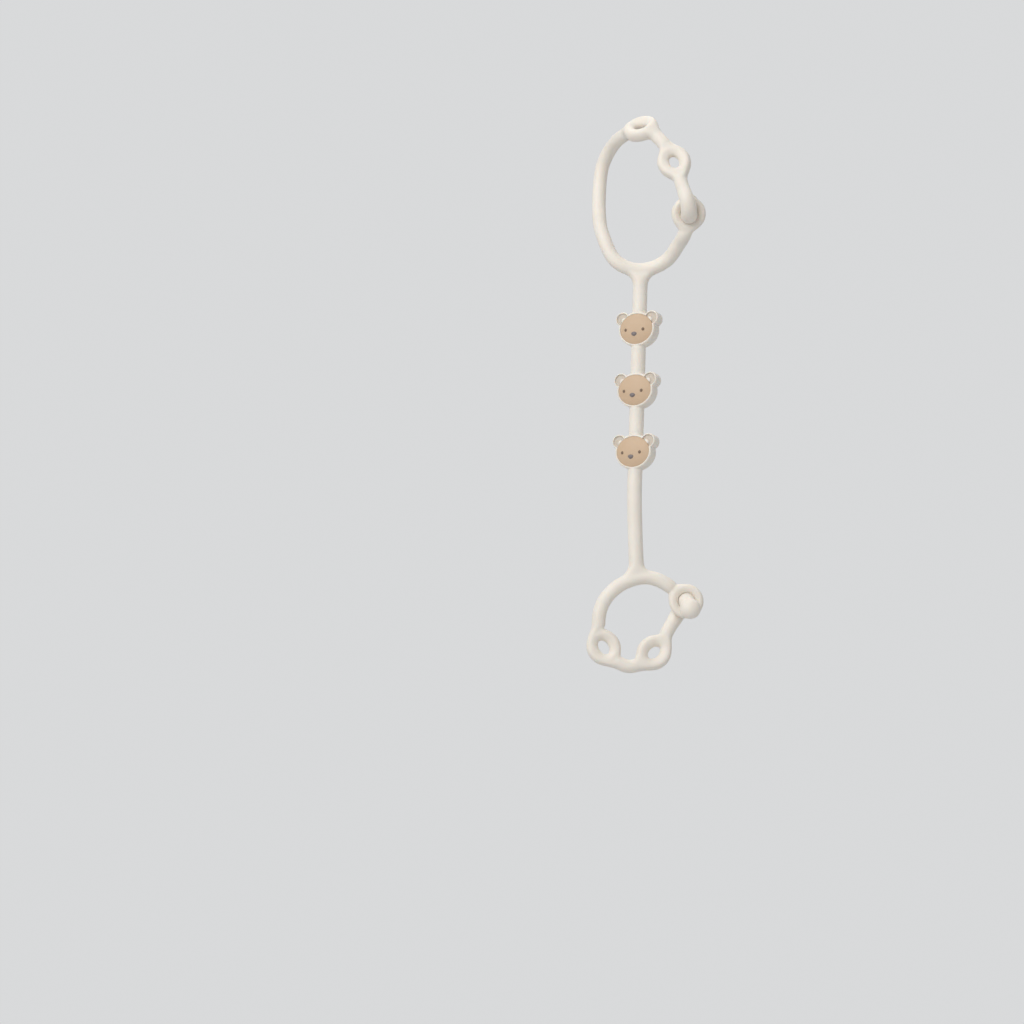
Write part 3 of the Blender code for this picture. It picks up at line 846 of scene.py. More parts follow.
        if sizes.root:
            hoops[0] = replace(hoops[0], half_front=(sizes.root + sizes.neck) / 4)
            root = self.route.hoop(length + way * (rim + CORD.lip), sizes.neck / 2, sizes.root / 2)
            hoops.insert(0, root)
            Bench.choose(cage.obj, "verts", at_opening)
            bpy.ops.transform.edge_crease(value=sizes.corner)
        first = cage.tube(hoops)[0]
        cage.bridge(lambda point: point.index in first or at_opening(point))

    def fork(self, node: str, start: float, middle: float, end: float, stem: Sequence[Hoop]) -> None:
        """Make a loop's bow with the stem's first length leaving it.

        Args:
            node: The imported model's node.
            start: Length where the bow starts.
            middle: Length where the stem meets it.
            end: Length where the bow ends.
            stem: Rings of the stem, from the fillet outwards.
        """
        cage = Cage(node)
        Bench.edit()
        spread = CORD.fork_spread
        before = self.route.stations(start, middle - spread, CORD.step)
        after = self.route.stations(middle + spread, end, CORD.step)
        cage.tube(self._round([*before, middle, *after], lambda _: CORD.arm))
        centre = self.route.at(middle)
        reach = stem[0].centre - centre
        away = reach.normalized()
        near = math.cos(CORD.fork_cone)
        bpy.ops.mesh.select_mode(type="FACE")

        def faces_stem(face: BMFace) -> bool:
            """Whether a face of the bow lies where the stem leaves it."""
            place = face.calc_center_median() - centre
            return place.length < spread and face.normal.dot(away) > near

        Bench.choose(cage.obj, "faces", faces_stem)
        bpy.ops.mesh.delete(type="FACE")
        # A fresh edit counts the points anew, so the next ones come last.
        Bench.pick(cage.obj)
        Bench.edit()
        first = cage.tube(stem)[0]
        limit = reach.length - CORD.fork_slack

        def at_opening(point: BMVert) -> bool:
            """Whether a point lies on the edge of the hole in the bow."""
            place = point.co - centre
            near_fork = place.length < spread * CORD.fork_reach_share
            return point.is_boundary and near_fork and place.dot(away) < limit

        cage.bridge(lambda point: point.index in first or at_opening(point))
        self.moulding.add(cage)

    def tip(self, node: str, start: float, waist: float) -> None:
        """Make the tail's end: a shank that fills the ring's hole, and the ball, closed by a patch.

        Args:
            node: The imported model's node.
            start: Length where the tip starts.
            waist: Length where the shank passes the ring.
        """
        cage = Cage(node)
        Bench.edit()
        end = self.route.lengths[-1]
        radius = CORD.ball / 2
        ball = self.route.hoop(end, radius, radius)
        # Subdivision draws the belts in along the ball too.
        meridian = (2.0 + math.cos(math.radians(CORD.ball_belt_step))) / 3.0
        neck = end - radius * CORD.ball_neck_share

        def width(s: float) -> float:
            """Diameter of the shank at a length."""
            if s < waist:
                return CORD.link + (CORD.waist - CORD.link) * (s - start) / (waist - start)
            return CORD.waist + (CORD.neck - CORD.waist) * (s - waist) / (neck - waist)

        hoops = self._round(self.route.stations(start, neck, CORD.step), width)
        for degrees in CORD.ball_belts:
            angle = math.radians(degrees)
            half = radius * math.sin(angle) / meridian
            place = ball.centre + ball.along * (radius * math.cos(angle) / meridian)
            hoops.append(replace(ball, centre=place, half_side=half, half_front=half))
        last = cage.tube(hoops)[-1]
        Bench.choose(cage.obj, "verts", lambda point: point.index in last)
        bpy.ops.mesh.fill_grid(span=QUARTER)
        Bench.choose(cage.obj, "verts", lambda point: point.index >= last.stop)
        bpy.ops.transform.translate(value=ball.along * radius * CORD.ball_pole_share)
        self.moulding.add(cage)


@dataclass(frozen=True)
class InlaySizes:
    """One inlay: a disc with a bevelled rim, whose front is a dome made of rings."""

    width: float
    height: float
    thickness: float
    rise: float
    rings: int


@dataclass(frozen=True)
class BearSizes:
    """One bear head and its inlays."""

    yaw: float = math.radians(26.0)
    width: float = 0.0234
    height: float = 0.0212
    thickness: float = 0.0090
    stub: float = 0.0016
    rounding: float = 0.0011
    rounding_steps: int = 4
    rounding_angle: float = math.radians(60.0)
    rim_sides: int = 96
    ear_sides: int = 48
    fillet: float = 0.0021
    fillet_lift: float = 0.6
    fillet_stops: tuple[float, ...] = (15.0, 30.0, 46.0, 62.0)
    flare_root: float = 0.00424
    trim: float = 0.0015
    ear: float = 0.0090
    ear_spacing: float = 0.0188
    ear_rise: float = 0.0064
    ear_step: float = 0.0003
    ear_hollow: float = 0.0073
    ear_depth: float = 0.0011
    ear_dome: float = 0.0021
    ear_dome_depth: float = 0.50
    ear_dome_sides: int = 32
    ear_inset: float = 0.0016
    # Where the painted shade in the ear hollows starts, how far it takes to grow full, and how deep it is
    # looked for.
    hollow_shade_shares: Shares = (0.25, 0.6, 1.5)
    parting_fade: float = 0.004
    face: InlaySizes = InlaySizes(0.0210, 0.0186, 0.0011, 0.0018, 12)
    face_sink: float = 0.0003
    eye: InlaySizes = InlaySizes(0.0019, 0.0020, 0.0006, 0.00038, 6)
    eye_spacing: float = 0.0112
    eye_drop: float = 0.0007
    nose: InlaySizes = InlaySizes(0.0042, 0.0027, 0.0008, 0.00065, 8)
    nose_drop: float = 0.0033
    nose_bands: int = 12
    # The nose's width at its foot, and what it gains up to its top.
    nose_taper: Span = (0.70, 0.36)
    # How strongly and how often the head and the nose are relaxed.
    head_relaxing: tuple[float, int] = (0.5, 5)
    nose_relaxing: tuple[float, int] = (0.4, 3)
    shift: float = 0.0007
    grain: float = 0.00022
    dome_power: float = 2.4
    # Faces whose normal points further forward than this are an inlay's front.
    forward: float = 0.9
    bevel_share: float = 1.0 / 6.0
    bevel_steps: int = 3
    bevel_angle: float = math.radians(55.0)


@dataclass
class Bear:
    """One bear head with its beige face, grey nose and brown eyes."""

    number: int
    centre: Vector
    sizes: BearSizes = BearSizes()

    @property
    def seam(self) -> float:
        """How far above and below the middle the head meets the stem."""
        return self.sizes.height / 2 + self.sizes.stub + CORD.seam_gap / 2

    @property
    def turn(self) -> Matrix:
        """From the bear's own axes to the strap's."""
        return Matrix.Translation(self.centre) @ Matrix.Rotation(-self.sizes.yaw, 4, "Z")

    @staticmethod
    def _disc(width: float, height: float, depth: float, centre: Vector, sides: int) -> Object:
        """Add an upright oval disc that faces the front.

        Args:
            width: From side to side.
            height: From top to bottom.
            depth: From front to back.
            centre: Its middle.
            sides: How many points its rim has.

        Returns:
            The disc.
        """
        Bench.clear()
        bpy.ops.mesh.primitive_cylinder_add(
            vertices=sides, radius=width / 2, depth=depth, location=centre, rotation=(math.pi / 2, 0.0, 0.0)
        )
        return Bench.stretch(bpy.context.active_object, (1.0, height / width, 1.0))

    def _rounded(self, obj: Object) -> Object:
        """Round a disc's rims, and return it."""
        Bench.bevel(obj, self.sizes.rounding, self.sizes.rounding_steps, self.sizes.rounding_angle)
        return obj

    @staticmethod
    def _combine(obj: Object, other: Object, operation: str) -> None:
        """Join one solid with another by a UNION, or cut it by a DIFFERENCE. The other is used up."""
        Bench.modify(obj, "BOOLEAN", operation=operation, solver="EXACT", object=other)
        bpy.data.objects.remove(other, do_unlink=True)

    def _flare(self, way: int) -> Object:
        """Model the cord's end on the head: round at the seam, and drawn out sideways into the rim.

        Args:
            way: 1 for the top of the head, -1 for the bottom.

        Returns:
            The solid, from past the seam to deep inside the head.
        """
        size = self.sizes
        half = CORD.stem / 2
        corner = size.height / 2 * math.sqrt(1 - (2 * half / size.width) ** 2)
        top = corner + size.fillet * size.fillet_lift
        stops = [(self.seam + size.trim, half), (top, half)]
        for degrees in size.fillet_stops:
            angle = math.radians(degrees)
            stops.append((top - size.fillet * math.sin(angle), half + size.fillet * (1 - math.cos(angle))))
        stops.append((size.flare_root, stops[-1][1]))
        Bench.clear()
        bpy.ops.mesh.primitive_circle_add(
            vertices=size.ear_sides, radius=half, fill_type="NGON", location=(0.0, 0.0, way * stops[0][0])
        )
        flare = bpy.context.active_object
        Bench.edit("FACE")
        bpy.ops.mesh.select_all(action="SELECT")
        for (before, wide), (after, wider) in zip(stops, stops[1:]):
            move = (0.0, 0.0, way * (after - before))
            bpy.ops.mesh.extrude_region_move(TRANSFORM_OT_translate={"value": move})
            bpy.ops.transform.resize(value=(wider / wide, 1.0, 1.0), center_override=(0.0, 0.0, 0.0))
        bpy.ops.mesh.select_all(action="SELECT")
        bpy.ops.mesh.normals_make_consistent(inside=False)
        Bench.clear()
        return flare

    def _hollow_ear(self, head: Object, side: int) -> None:
        """Sink one ear's front, and leave the soft swelling next to the face.

        Args:
            head: The head.
            side: -1 for the ear at the left, 1 for the one at the right.
        """
        size = self.sizes
        floor = -size.thickness / 2 + size.ear_depth
        depth = size.ear_depth * 2
        place = Vector((side * size.ear_spacing / 2, floor - depth / 2, size.ear_rise))
        cutter = self._disc(size.ear_hollow, size.ear_hollow, depth, place, size.ear_sides)
        self._combine(head, cutter, "DIFFERENCE")
        inward = Vector((-place.x, 0.0, -place.z)).normalized()
        Bench.clear()
        bpy.ops.mesh.primitive_uv_sphere_add(
            segments=size.ear_dome_sides,
            ring_count=size.ear_dome_sides // 2,
            radius=size.ear_dome,
            location=Vector((place.x, floor, place.z)) + inward * size.ear_inset,
        )
        dome = Bench.stretch(bpy.context.active_object, (1.0, size.ear_dome_depth, 1.0))
        self._combine(head, dome, "UNION")

    def _trim(self, head: Object) -> None:
        """Cut both ends of the cord square at the seams.

        Args:
            head: The head.
        """
        Bench.pick(head)
        Bench.edit()
        for way in (-1, 1):
            bpy.ops.mesh.select_all(action="SELECT")
            bpy.ops.mesh.bisect(
                plane_co=(0.0, 0.0, way * self.seam),
                plane_no=(0.0, 0.0, float(way)),
                use_fill=True,
                clear_outer=True,
            )
        Bench.clear()

    def _mark(self, head: Object) -> None:
        """Write where the ears are hollow, for the painted shade there, and where the mould parts, for the
        silicone to read.

        Args:
            head: The head.
        """
        size = self.sizes
        front = -size.thickness / 2
        start, growth, reach = (size.ear_depth * share for share in size.hollow_shade_shares)
        marks: dict[str, list[float]] = {PARTING: [], HOLLOW_SHADE: []}
        for point in head.data.vertices:
            place = point.co
            marks[PARTING].append(max(0.0, 1.0 - abs(place.y) / size.parting_fade))
            away = math.hypot(abs(place.x) - size.ear_spacing / 2, place.z - size.ear_rise)
            inside = away < size.ear_hollow / 2 + size.grain and place.y < front + reach
            # The hollow mark grows with depth below the front, so the painted shade deepens into the ear
            # hollows.
            sunk = (place.y - front - start) / growth
            marks[HOLLOW_SHADE].append(min(1.0, max(0.0, sunk)) if inside else 0.0)
        for name, values in marks.items():
            head.data.attributes.new(name, "FLOAT", "POINT").data.foreach_set("value", values)

    def head(self) -> Object:
        """Model the cream head: discs melted together, with hollows for the face and the ears.

        Returns:
            The head.
        """
        size = self.sizes
        head = self._rounded(self._disc(size.width, size.height, size.thickness, Vector(), size.rim_sides))
        for side in (-1, 1):
            centre = Vector((side * size.ear_spacing / 2, 0.0, size.ear_rise))
            ear = self._disc(size.ear, size.ear, size.thickness - size.ear_step, centre, size.ear_sides)
            self._combine(head, self._rounded(ear), "UNION")
        for way in (-1, 1):
            self._combine(head, self._flare(way), "UNION")
        for side in (-1, 1):
            self._hollow_ear(head, side)
        floor = size.face_sink + size.face.thickness
        middle = Vector((0.0, -size.thickness / 2, 0.0))
        pocket = self._disc(size.face.width, size.face.height, floor * 2, middle, size.rim_sides)
        self._combine(head, pocket, "DIFFERENCE")
        Bench.modify(head, "REMESH", mode="VOXEL", voxel_size=size.grain, use_smooth_shade=True)
        Bench.relax(head, *size.head_relaxing)
        self._trim(head)
        self._mark(head)
        Bench.smooth(head, size.rounding_angle)
        return head

    def _inlay(self, shape: InlaySizes, centre: Vector) -> Object:
        """Model an inlay by drawing a disc's front out ring by ring to a soft dome.

        Args:
            shape: Its sizes.
            centre: The middle of its rim's front edge.

        Returns:
            The inlay.
        """
        size = self.sizes
        place = centre + Vector((0.0, shape.thickness / 2, 0.0))
        inlay = self._disc(shape.width, shape.height, shape.thickness, place, size.rim_sides)
        Bench.edit("FACE")
        Bench.choose(inlay, "faces", lambda side: side.normal.y < -size.forward)
        for step in range(shape.rings - 1):
            before = 1.0 - step / shape.rings
            share = 1.0 - (step + 1) / shape.rings
            bpy.ops.mesh.extrude_region_move()
            bpy.ops.transform.resize(value=(share / before, 1.0, share / before), center_override=centre)
            rise = shape.rise * (before**size.dome_power - share**size.dome_power)
            bpy.ops.transform.translate(value=(0.0, -rise, 0.0))
        Bench.bevel(inlay, shape.thickness * size.bevel_share, size.bevel_steps, size.bevel_angle)
        Bench.smooth(inlay, SMOOTH_ANGLE)
        return inlay

    def _on_face(self, x: float, z: float) -> Vector:
        """Find the place on the face's surface that lies at a distance across and up.

        Args:
            x: Distance to the right of the face's middle.
            z: Distance above it.

        Returns:
            The place.
        """
        size = self.sizes
        share = min(1.0, math.hypot(x / size.face.width, z / size.face.height) * 2)
        rise = size.face.rise * (1 - share**size.dome_power)
        return Vector((x, -size.thickness / 2 + size.face_sink - rise, z))

    def face(self) -> Object:
        """Model the beige face: a shallow dome in the head's pocket."""
        middle = Vector((0.0, -self.sizes.thickness / 2 + self.sizes.face_sink, 0.0))
        return self._inlay(self.sizes.face, middle)

    def eye(self, side: int) -> Object:
        """Model one brown eye, a small upright bead, at the left for -1 or at the right for 1."""
        across = side * self.sizes.eye_spacing / 2 - self.sizes.shift
        return self._inlay(self.sizes.eye, self._on_face(across, -self.sizes.eye_drop))

    def nose(self) -> Object:
        """Model the grey nose: a soft triangle, wider at the top, with a rounded front.

        Returns:
            The nose.
        """
        size = self.sizes
        place = self._on_face(-size.shift, -size.nose_drop)
        nose = self._inlay(size.nose, place)
        foot, gain = size.nose_taper
        Bench.edit()
        for band in range(size.nose_bands):
            low = place.z + size.nose.height * (band / size.nose_bands - 0.5)
            high = low + size.nose.height / size.nose_bands
            Bench.choose(nose, "verts", lambda point, low=low, high=high: low <= point.co.z < high)
            share = foot + gain * (band + 0.5) / size.nose_bands
            bpy.ops.transform.resize(value=(share, 1.0, 1.0), center_override=place)
        Bench.relax(nose, *size.nose_relaxing)
        return nose

    def build(self) -> dict[str, Object]:
        """Model the head and its inlays, and turn them to their place on the stem.

        Returns:
            The pieces by node.
        """
        made = {
            "head": self.head(),
            "face": self.face(),
            "eye_left": self.eye(-1),
            "eye_right": self.eye(1),
            "nose": self.nose(),
        }
        pieces = {}
        for label, obj in made.items():
            Bench.place(obj, self.turn)
            node = f"bear_{self.number}_{label}"
            obj.name = node + "_look"
            pieces[node] = obj
        return pieces


class Wiring:
    """Adds shader nodes to one tree.

    Args:
        tree: The tree.
    """

    def __init__(self, tree: NodeTree) -> None:
        self.tree = tree

    def feed(self, node: Node, sources: dict[str | int, Source]) -> None:
        """Give a node's inputs their values or links.

        Args:
            node: The node.
            sources: A number, a colour or a socket for each input.
        """
        for name, source in sources.items():
            if isinstance(source, NodeSocket):
                self.tree.links.new(source, node.inputs[name])
            else:
                node.inputs[name].default_value = source

    def add(self, kind: str, sources: dict[str | int, Source], **settings: object) -> Node:
        """Add a node.

        Args:
            kind: Its type, without the leading ShaderNode.
            sources: A number, a colour or a socket for each input that is set.
            settings: Its own properties.

        Returns:
            The node.
        """
        node = self.tree.nodes.new("ShaderNode" + kind)
        for name, value in settings.items():
            setattr(node, name, value)
        self.feed(node, sources)
        return node

    def ramp(self, value: Source, span: Span, aim: Span = (0.0, 1.0), easing: str = "LINEAR") -> Source:
        """Carry a value from one span to another, and hold it at its ends.

        Args:
            value: The value.
            span: Where it runs from and to.
            aim: Where it is carried.
            easing: How it runs between the ends.

        Returns:
            The new value.
        """
        ends = {"From Min": span[0], "From Max": span[1], "To Min": aim[0], "To Max": aim[1]}
        node = self.add("MapRange", {"Value": value, **ends}, interpolation_type=easing)
        return node.outputs["Result"]

    def math(self, operation: str, first: Source, second: Source) -> Source:
        """Join two values by one step of arithmetic."""
        return self.add("Math", {0: first, 1: second}, operation=operation).outputs[0]


@dataclass(frozen=True)
class Silicone:
    """A soft matt silicone, with the detail that its surface shows.

    Args:
        name: The material's name.
        colour: Its colour where it is clean and even.
        shade: The colour that its clouding runs to, and the painted shade in its ear hollows.
        lint: The colour of the dust that clings to it.
        roughness: Lowest and highest roughness over the surface.
        glow: How much light passes under the surface.
        glow_reach: How far red, green and blue light go there, as shares.
        glow_depth: The distance that those are shares of.
        specular: How strongly it mirrors.
        sheen: Strength and roughness of its dusty sheen.
        bump: Strength and height of its grain.
    """

    name: str
    colour: Colour
    shade: Colour
    lint: Colour
    roughness: Span
    glow: float = 0.0
    glow_reach: Shares = (1.0, 0.62, 0.38)
    glow_depth: float = 0.0018
    specular: float = 0.42
    sheen: Span = (0.06, 0.5)
    bump: Span = (0.5, 0.00008)

    def build(self, grain: NodeTree) -> Material:
        """Make the material.

        Args:
            grain: The node group of silicone detail.

        Returns:
            The material.
        """
        material = bpy.data.materials.new(self.name)
        material.use_nodes = True
        wiring = Wiring(material.node_tree)
        given = {"Place": wiring.add("TexCoord", {}).outputs["Object"]}
        for name, layer in (("Parting", PARTING), ("Hollow", HOLLOW_SHADE)):
            given[name] = wiring.add("Attribute", {}, attribute_name=layer).outputs["Fac"]
        detail = wiring.add("Group", {}, node_tree=grain)
        wiring.feed(detail, given)
        colour: Source = self.colour
        # The clouding together with the painted shade in the ear hollows, then the dust, are mixed into the
        # colour.
        for mask, other in (("Tone", self.shade), ("Lint", self.lint)):
            sources = {"A": colour, "B": other, "Factor": detail.outputs[mask]}
            colour = wiring.add("Mix", sources, data_type="RGBA").outputs["Result"]
        bump = {"Strength": self.bump[0], "Distance": self.bump[1], "Height": detail.outputs["Height"]}
        look = {
            "Base Color": colour,
            "Roughness": wiring.ramp(detail.outputs["Polish"], (0.0, 1.0), self.roughness),
            "Normal": wiring.add("Bump", bump).outputs["Normal"],
            "Subsurface Weight": self.glow,
            "Subsurface Radius": self.glow_reach,
            "Subsurface Scale": self.glow_depth,
            "Specular IOR Level": self.specular,
            "Sheen Weight": self.sheen[0],
            "Sheen Roughness": self.sheen[1],
        }
        wiring.feed(wiring.tree.nodes["Principled BSDF"], look)
        return material


@dataclass(frozen=True)
class Grain:
    """The node group of silicone detail: clouding, painted shade in the ear hollows, dust, uneven polish,
    fine grain and the parting line.
    """

    # Each noise has a scale, its detail, and the two levels that it is spread between.
    clouds: tuple[float, float, Span] = (60.0, 5.0, (0.35, 0.75))
    fine: tuple[float, float, Span] = (5200.0, 2.0, (0.20, 0.80))
    polish: tuple[float, float, Span] = (420.0, 3.0, (0.35, 0.65))
    cloud_depth: float = 0.14
    # How far the painted shade in the ear hollows runs towards the shade colour.
    hollow_shade_depth: float = 0.9
    line: Span = (0.935, 0.99)
    speck_scale: float = 360.0
    speck_edge: Span = (0.02, 0.045)
    speck_strength: float = 0.5
    # No cell below the first has a speck, and each above the second has one.
    speck_share: Span = (0.80, 0.82)

    def _lint(self, wiring: Wiring, place: Source) -> Source:
        """Scatter specks of dust, in a few of the cells of a fine pattern.

        Args:
            wiring: The group's nodes.
            place: The place on the surface.

        Returns:
            The strength of the dust.
        """
        cells = wiring.add("TexVoronoi", {"Scale": self.speck_scale, "Vector": place})
        speck = wiring.ramp(cells.outputs["Distance"], self.speck_edge, (self.speck_strength, 0.0))
        red = wiring.add("SeparateColor", {"Color": cells.outputs["Color"]}).outputs["Red"]
        return wiring.math("MULTIPLY", speck, wiring.ramp(red, self.speck_share))

    def build(self) -> NodeTree:
        """Make the group.

        Returns:
            The group.
        """
        wiring = Wiring(bpy.data.node_groups.new("Silicone grain", "ShaderNodeTree"))
        sockets = wiring.tree.interface
        sockets.new_socket("Place", in_out="INPUT", socket_type="NodeSocketVector")
        for name in ("Parting", "Hollow"):
            sockets.new_socket(name, in_out="INPUT", socket_type="NodeSocketFloat")
        for name in ("Tone", "Lint", "Polish", "Height"):
            sockets.new_socket(name, in_out="OUTPUT", socket_type="NodeSocketFloat")
        given = wiring.tree.nodes.new("NodeGroupInput").outputs
        place = given["Place"]

        def noise(scale: float, detail: float, levels: Span) -> Source:
            """Noise over the surface, spread from 0 to 1 between two of its levels."""
            node = wiring.add("TexNoise", {"Scale": scale, "Detail": detail, "Vector": place})
            return wiring.ramp(node.outputs["Fac"], levels)

        line = wiring.ramp(given["Parting"], self.line)
        clouding = wiring.ramp(noise(*self.clouds), (0.0, 1.0), (0.0, self.cloud_depth))
        # Painted shade in the ear hollows, read from the hollow mark.
        hollow = wiring.ramp(given["Hollow"], (0.0, 1.0), (0.0, self.hollow_shade_depth))
        results = {
            # The colour mask: random clouding, and the painted shade in the ear hollows.
            "Tone": wiring.math("MAXIMUM", clouding, hollow),
            "Lint": self._lint(wiring, place),
            "Polish": wiring.math("SUBTRACT", noise(*self.polish), line),
            "Height": wiring.math("ADD", noise(*self.fine), line),
        }
        wiring.feed(wiring.tree.nodes.new("NodeGroupOutput"), results)
        return wiring.tree


SILICONES = {
    Finish.CREAM: Silicone(
        name="Cream silicone",
        colour=(0.850, 0.790, 0.705, 1.0),
        # Shade: where the clouding runs, and the painted shade in the ear hollows.
        shade=(0.570, 0.495, 0.410, 1.0),
        lint=(0.46, 0.42, 0.38, 1.0),
        roughness=(0.42, 0.58),
        glow=0.20,
    ),
    Finish.BEIGE: Silicone(
        name="Beige silicone",
        colour=(0.605, 0.440, 0.295, 1.0),
        shade=(0.530, 0.360, 0.225, 1.0),
        lint=(0.78, 0.68, 0.56, 1.0),
        roughness=(0.46, 0.60),
        glow=0.08,
    ),
    Finish.NOSE: Silicone(
        name="Grey silicone",
        colour=(0.200, 0.172, 0.168, 1.0),
        shade=(0.140, 0.120, 0.118, 1.0),
        lint=(0.45, 0.42, 0.40, 1.0),
        roughness=(0.38, 0.50),
    ),
    Finish.EYE: Silicone(
        name="Brown silicone",
        colour=(0.190, 0.125, 0.080, 1.0),
        shade=(0.110, 0.070, 0.045, 1.0),
        lint=(0.42, 0.36, 0.30, 1.0),
        roughness=(0.36, 0.48),
    ),
}


class Strap:
    """The whole strap: it models every piece, dresses it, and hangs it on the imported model's bodies."""

    def __init__(self) -> None:
        self.joints = {joint["child"]: joint["parent"] for joint in frame["joints"]}
        groups = frame["record"]["behaviour"]["bodies"]
        self.body_of = {node: body for body, nodes in groups.items() for node in nodes}
        self.pieces: dict[str, Object] = {}
        self.moulding = Moulding()

    def loop(self, side: str, plan: LoopPlan, stem: Sequence[Hoop]) -> None:
        """Model one loop from its button ring round to its ball.

        Args:
            side: upper or lower.
            plan: Where its cord runs.
            stem: Rings of the stem's stub, from the fillet outwards.
        """
        route = plan.route()
        maker = CordMaker(route, self.moulding)
        gap = CORD.seam_gap / 2
        flex_start = route.station(plan.junction + 2) - gap
        maker.ring(f"{side}_ring", 0.0, BUTTON_RING, 1)
        yoke_start = BUTTON_RING.reach + gap
        maker.fork(f"{side}_yoke", yoke_start, route.station(plan.junction), flex_start, stem)
        inner = route.station(plan.inner)
        outer = route.station(plan.outer)
        reach = EYELET.reach
        inner_seam = inner - reach - gap
        arm_end = flex_start + CORD.flex_arm + 2 * gap
        if inner_seam - arm_end > CORD.flex_arm:
            maker.flex(f"{side}_arm_flex", flex_start, arm_end, CORD.arm, CORD.arm)
            maker.cord(f"{side}_arm", arm_end, inner_seam, CORD.arm, CORD.link)
        else:
            maker.flex(f"{side}_arm_flex", flex_start, inner_seam, CORD.arm, CORD.link)
        maker.ring(f"{side}_inner_eyelet", inner, EYELET, -1, 1)
        maker.flex(f"{side}_inner_link", inner + reach + gap, outer - reach - gap, CORD.link, CORD.link)
        maker.ring(f"{side}_outer_eyelet", outer, EYELET, -1, 1)
        link_start = outer + reach + gap
        link_end = link_start + CORD.flex_link + 2 * gap
        maker.flex(f"{side}_outer_link", link_start, link_end, CORD.link, CORD.link)
        maker.tip(f"{side}_tip", link_end, route.station(plan.waist))
        LOG.info("%s loop modelled, %.0f mm of cord", side, route.lengths[-1] * 1000)

    @staticmethod
    def stem_route() -> Route:
        """Lay the stem's centreline, from the upper junction to the lower one.

        Returns:
            The route.
        """
        drops = [STEM.junction_drop, (STEM.junction_drop + STEM.first_bear_drop) / 2, *STEM.bear_drops]
        points = [Vector((0.0, 0.0, -drop)) for drop in drops]
        for share, drift in STEM.drift_shares:
            points.append(Vector((STEM.side_drift * drift, 0.0, -(drops[-1] + STEM.tail * share))))
        return Route(points, {0: Vector((0.0, -1.0, 0.0))})

    @staticmethod
    def stub_hoops(route: Route, start: float, way: int, seam: float) -> list[Hoop]:
        """Lay the rings of the stem where it swells into a loop, from the fillet out to the seam.

        Args:
            route: The stem's centreline.
            start: Length where the stem meets the loop.
            way: 1 where the stem leads away from the loop along its route, otherwise -1.
            seam: Length of the stub's seam.

        Returns:
            The rings.
        """
        radius = CORD.stem / 2
        swells = [(start + way * reach, swell) for reach, swell in CORD.fork_swells] + [(seam, 1.0)]
        return [route.hoop(s, radius * swell, radius) for s, swell in swells]

    def stem(self, route: Route) -> list[Bear]:
        """Model the stem between the loops.

        Args:
            route: The stem's centreline.

        Returns:
            The bears that sit on it, not modelled yet.
        """
        maker = CordMaker(route, self.moulding)
        gap = CORD.seam_gap / 2
        size = BearSizes()
        half = size.height / 2 + size.stub
        places = [drop - STEM.junction_drop for drop in STEM.bear_drops]
        top = STEM.stub + gap
        bottom = places[0] - half - gap
        collar = (top + bottom - STEM.collar) / 2
        collar_end = collar + STEM.collar
        lengths = [
            ("flex_1a", top, collar),
            ("collar", collar, collar_end),
            ("flex_1b", collar_end, bottom),
        ]
        for i in range(1, STEM.bears):
            lengths.append((f"flex_{i + 1}", places[i - 1] + half + gap, places[i] - half - gap))
        lower = places[-1] + half + gap
        lower_end = lower + STEM.lower_flex + gap
        stub = route.lengths[-1] - STEM.lower_stub
        foot = stub - STEM.lower_flex - 2 * gap
        lengths += [
            ("flex_4a", lower, lower_end),
            ("lower", lower_end, foot),
            ("flex_4b", foot, stub - gap),
        ]
        for label, start, end in lengths:
            make = maker.flex if label.startswith("flex") else maker.cord
            make(f"stem_{label}", start, end, CORD.stem, CORD.stem)
        return [Bear(i + 1, route.at(place)) for i, place in enumerate(places)]

    def build(self) -> None:
        """Model every piece."""
        route = self.stem_route()
        gap = CORD.seam_gap / 2
        end = route.lengths[-1]
        self.loop("upper", UPPER_LOOP, self.stub_hoops(route, 0.0, 1, STEM.stub + gap))
        bears = self.stem(route)
        self.loop("lower", LOWER_LOOP, self.stub_hoops(route, end, -1, end - STEM.lower_stub - gap))
        self.pieces.update(self.moulding.part())
        for bear in bears:
            self.pieces.update(bear.build())
            LOG.info("bear %d modelled", bear.number)

    @staticmethod
    def finish_of(node: str) -> Finish:
        """Say which silicone a node is moulded from."""
        inlays = {"face": Finish.BEIGE, "nose": Finish.NOSE, "left": Finish.EYE, "right": Finish.EYE}
        return inlays.get(node.split("_")[-1], Finish.CREAM)

    def dress(self) -> None:
        """Give every piece its silicone."""
        grain = Grain().build()
        made = {finish: silicone.build(grain) for finish, silicone in SILICONES.items()}
        for node, obj in self.pieces.items():
            finish = self.finish_of(node)
            obj.data.materials.clear()
            obj.data.materials.append(made[finish])

    def hang(self) -> None:
        """Put every piece on its body, or across the joint that bends it."""
        for node, obj in self.pieces.items():
            body = self.body_of[node]
            if node in self.moulding.bends:
                start, end = self.moulding.bends[node]
                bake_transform(obj, self.joints[body], body, start=start, end=end)
            else:
                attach(obj, body)
            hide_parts(node)
            LOG.info("%s: %d faces on %s", obj.name, len(obj.data.polygons), body)


@dataclass(frozen=True)
class Lamp:
    """One square soft light: its name, place, size and power."""

    name: str
    place: Vector
    size: float
    power: float


